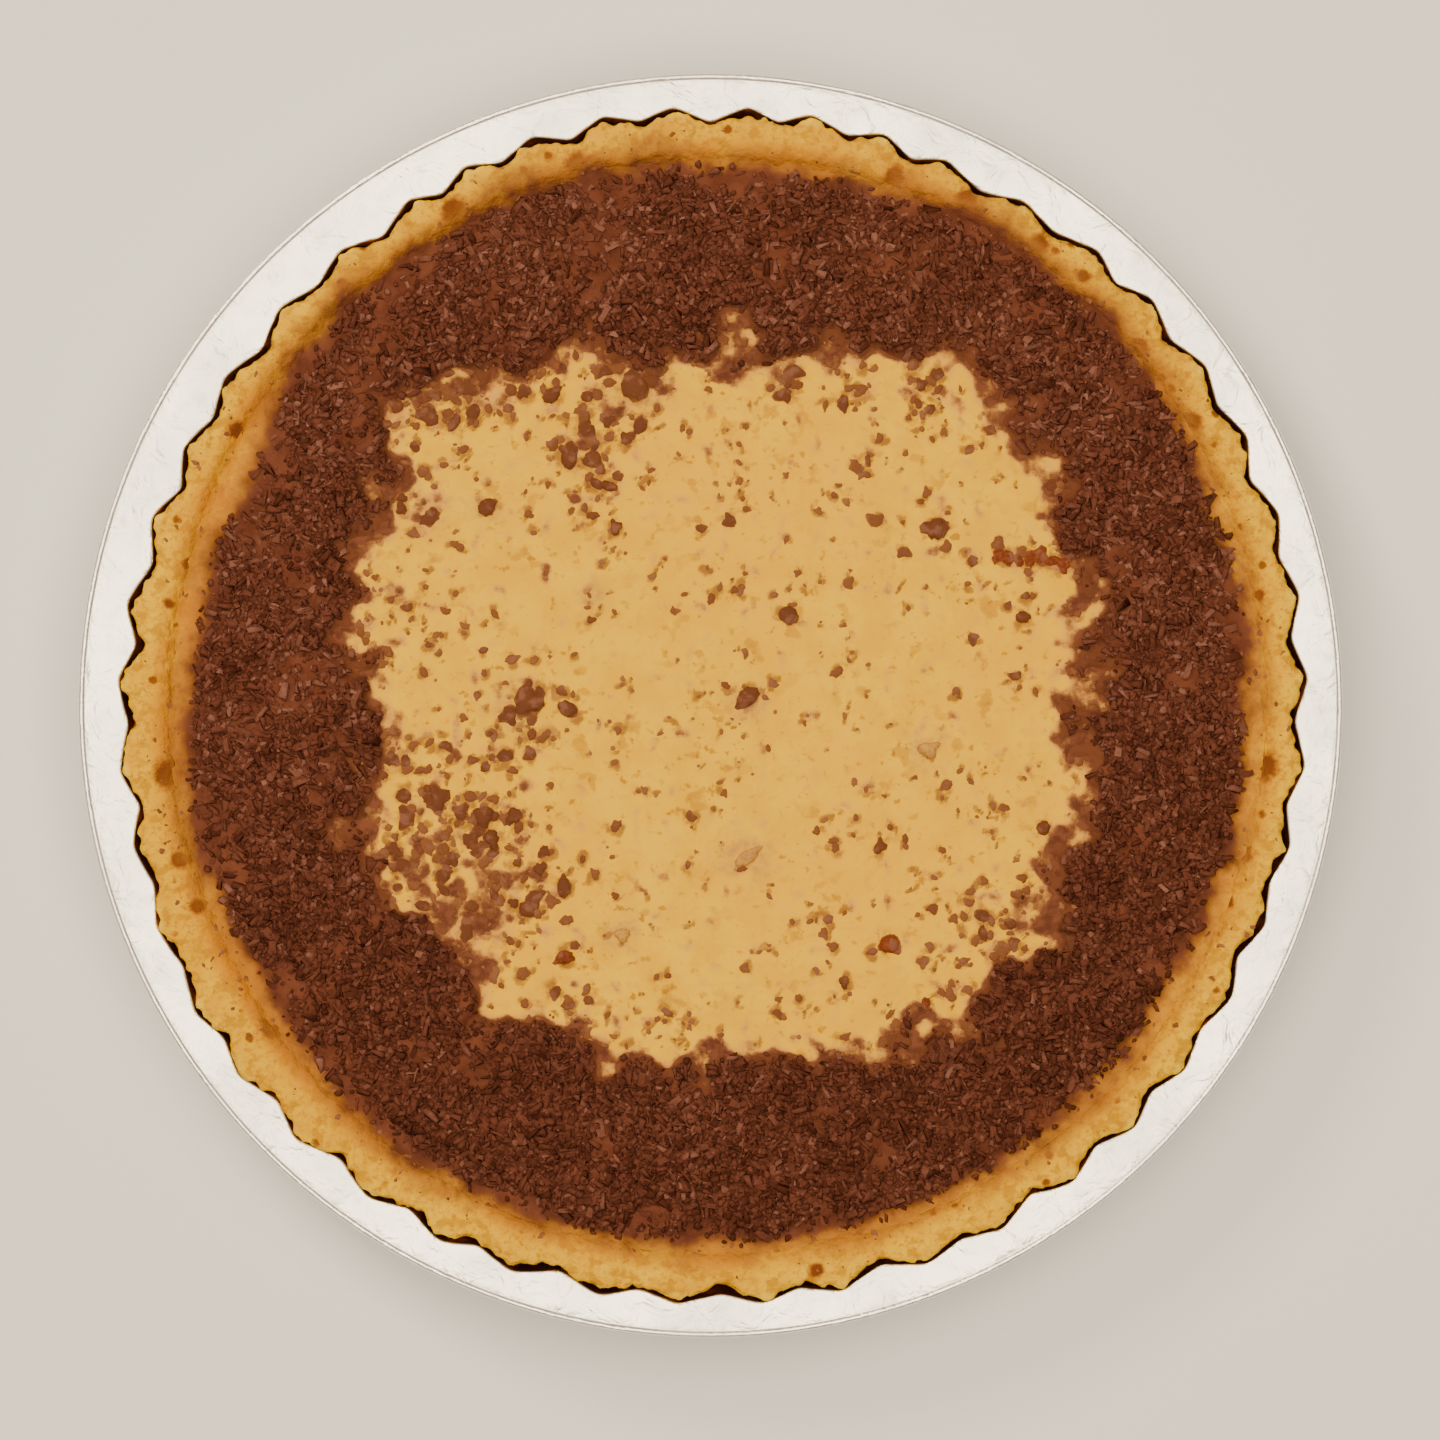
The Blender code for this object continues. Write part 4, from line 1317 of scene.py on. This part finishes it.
def flake_finish():
    """Flakes on the custard: warm brown, softened at the rim where they sink in."""
    flake = Finish("chocolate flakes", Roughness=0.62, Specular_IOR_Level=MATTE)
    crumb = flake.clouds(0.0009)
    value = flake.marked("shade") * 0.85 + crumb * 0.30
    dark = flake.over((0.126, 0.042, 0.018), (0.200, 0.074, 0.027), value, 0.15, 0.60)
    brown = flake.over(dark, (0.300, 0.134, 0.042), value, 0.60, 1.05)
    red = flake.over((0.130, 0.030, 0.012), (0.210, 0.050, 0.014), crumb, 0.35, 0.65)
    tone = flake.over(brown, red, value, 1.35, 1.55)
    bloomed = flake.over(tone, (0.235, 0.098, 0.060), flake.clouds(0.0026, detail=3.0), 0.50, 0.66, 0.65)
    sunk = flake.marked("rise") + (crumb - 0.5) * 0.5
    rimmed = flake.over(bloomed, (0.310, 0.122, 0.030), sunk, 0.75, 0.05, 0.60)
    skin = flake.over((0.56, 0.290, 0.045), (0.36, 0.160, 0.060), crumb, 0.30, 0.80)
    flake.paint("Base Color", flake.over(rimmed, skin, value, 1.98, 2.12))
    flake.relief(crumb * 0.00020)
    return flake.material


def floor_finish():
    """A plain pale board, with a trace of unevenness."""
    floor = Finish("pale floor", Roughness=0.85)
    shade = floor.clouds(0.12, detail=3.0)
    floor.paint("Base Color", floor.mix(shade, (0.80, 0.80, 0.80), (0.84, 0.84, 0.84)))
    return floor.material


def finish_with(piece, material, replaced=None):
    """Gives a piece its material and its place on the part, and hides the imported part it stands for."""
    piece.data.materials.clear()
    piece.data.materials.append(material)
    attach(piece, "root")
    if replaced:
        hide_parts(replaced)


# Floor, light and camera

def lay_floor():
    start_piece()
    bpy.ops.mesh.primitive_plane_add(size=6.0, location=(0.0, 0.0, -0.0002))
    floor = put_at_origin(named("floor"))
    floor.data.materials.append(floor_finish())


def hang_light(name, place, target, size, power, tint):
    lamp = bpy.data.lights.new(name, 'AREA')
    lamp.shape = 'SQUARE'
    lamp.size = size
    lamp.energy = power
    lamp.color = tint
    hung = bpy.data.objects.new(name, lamp)
    bpy.context.scene.collection.objects.link(hung)
    hung.location = place
    hung.rotation_euler = (Vector(target) - Vector(place)).to_track_quat('-Z', 'Y').to_euler()


def light_studio():
    warm = (1.0, 0.85, 0.62)
    hang_light("overhead softbox", (0.0, 0.0, 2.7), (0.0, 0.0, 0.0), 2.5, 112.0, warm)
    hang_light("key from the upper left", (-0.75, 0.85, 1.15), (0.0, 0.0, 0.02), 0.45, 12.0, warm)
    world = bpy.data.worlds.new("pale room")
    bpy.context.scene.world = world
    world.use_nodes = True
    background = world.node_tree.nodes["Background"]
    background.inputs["Color"].default_value = (1.0, 0.92, 0.80, 1.0)
    background.inputs["Strength"].default_value = 0.28


def place_camera():
    """Straight down, with the tin a little left of the frame's middle and above it."""
    camera = bpy.data.cameras.new("camera")
    camera.sensor_width = 36.0
    camera.lens = 250.0
    camera.clip_start = 0.05
    camera.clip_end = 20.0
    held = bpy.data.objects.new("camera", camera)
    bpy.context.scene.collection.objects.link(held)
    held.location = (0.0019, -0.0029, FLANGE_HEIGHT + 2.0)
    bpy.context.scene.camera = held


def grate_chocolate(ground):
    """The loose chocolate on the bed. Each kind has a name, a shape and the first seed of its
    shapes, a count, the least and most length, how far it sinks and lifts in lengths, its tilt,
    the seed of its places, and how near the bed's thin edge it still lies."""
    kinds = (
        ("chocolate_grains", grain_shape, 0, 9800, (0.0011, 0.0024), 0.20, 0.24, 1.2, 4, 0.2),
        ("chocolate_crumbs", grain_shape, 8, 3800, (0.0016, 0.0031), 0.32, 0.12, 1.2, 9, 0.3),
        ("chocolate_slivers", sliver_shape, 20, 9000, (0.0015, 0.0034), 0.10, 0.24, 0.6, 5, 0.1),
        ("chocolate_curls", curl_shape, 40, 3600, (0.0019, 0.0040), 0.06, 0.14, 0.6, 6, 0.0),
    )
    grated = []
    for name, shape, first, count, lengths, sink, lift, tilt, seed, near_edge in kinds:
        shapes = [shape(shape_seed) for shape_seed in range(first, first + SHAPES_PER_KIND)]
        spots = bed_spots(count, lengths, sink, lift, tilt, SCATTER_SEED + seed, ground, near_edge)
        grated.append(strewn(name, shapes, spots))
    return grated


def build():
    strewn_flakes = list(FLAKES) + loose_flakes(LOOSE_FLAKE_COUNT, SCATTER_SEED + 3)

    tin = make_tin()
    crust = make_crust()
    dark_lumps = [lump for lump in LUMPS if lump not in SUNKEN_LUMPS]
    custard = make_custard(dark_lumps + strewn_flakes + list(RED_FLAKES))
    bed = make_bed()
    ground = Ground((crust, custard, bed))

    grains, crumbs, slivers, curls = grate_chocolate(ground)
    low_levels = ((0.14, 0.80), (0.08, 0.66))
    high_levels = ((0.20, 0.92), (0.16, 0.80), (0.09, 0.62))
    lumps = strewn("chocolate_lumps", [flake_shape(seed, high_levels) for seed in range(61, 70, 2)],
                   flake_spots(LUMPS, SCATTER_SEED + 10, ground))
    flakes = strewn("chocolate_flakes", [flake_shape(seed, low_levels) for seed in range(60, 72)],
                    flake_spots(strewn_flakes, SCATTER_SEED + 7, ground)
                    + flake_spots(RED_FLAKES, SCATTER_SEED + 12, ground))
    specks = strewn("rim_specks", [grain_shape(seed) for seed in range(80, 84)],
                    rim_spots(RIM_SPECK_COUNT, SCATTER_SEED + 8, ground))
    for piece in (grains, crumbs, curls, lumps, flakes, specks):
        smoothed(piece, 70.0)

    finish_with(tin, foil_finish(), "tin")
    finish_with(crust, pastry_finish(), "crust")
    finish_with(custard, custard_finish(), "filling")
    grated = chocolate_finish("grated chocolate", 0.10)
    curled = chocolate_finish("chocolate curls", 0.16)
    flaked = flake_finish()
    for piece, material in ((bed, bed_finish()), (grains, grated), (crumbs, grated), (slivers, grated),
                            (curls, curled), (lumps, flaked), (flakes, flaked), (specks, flaked)):
        finish_with(piece, material)

    lay_floor()
    light_studio()
    place_camera()


build()
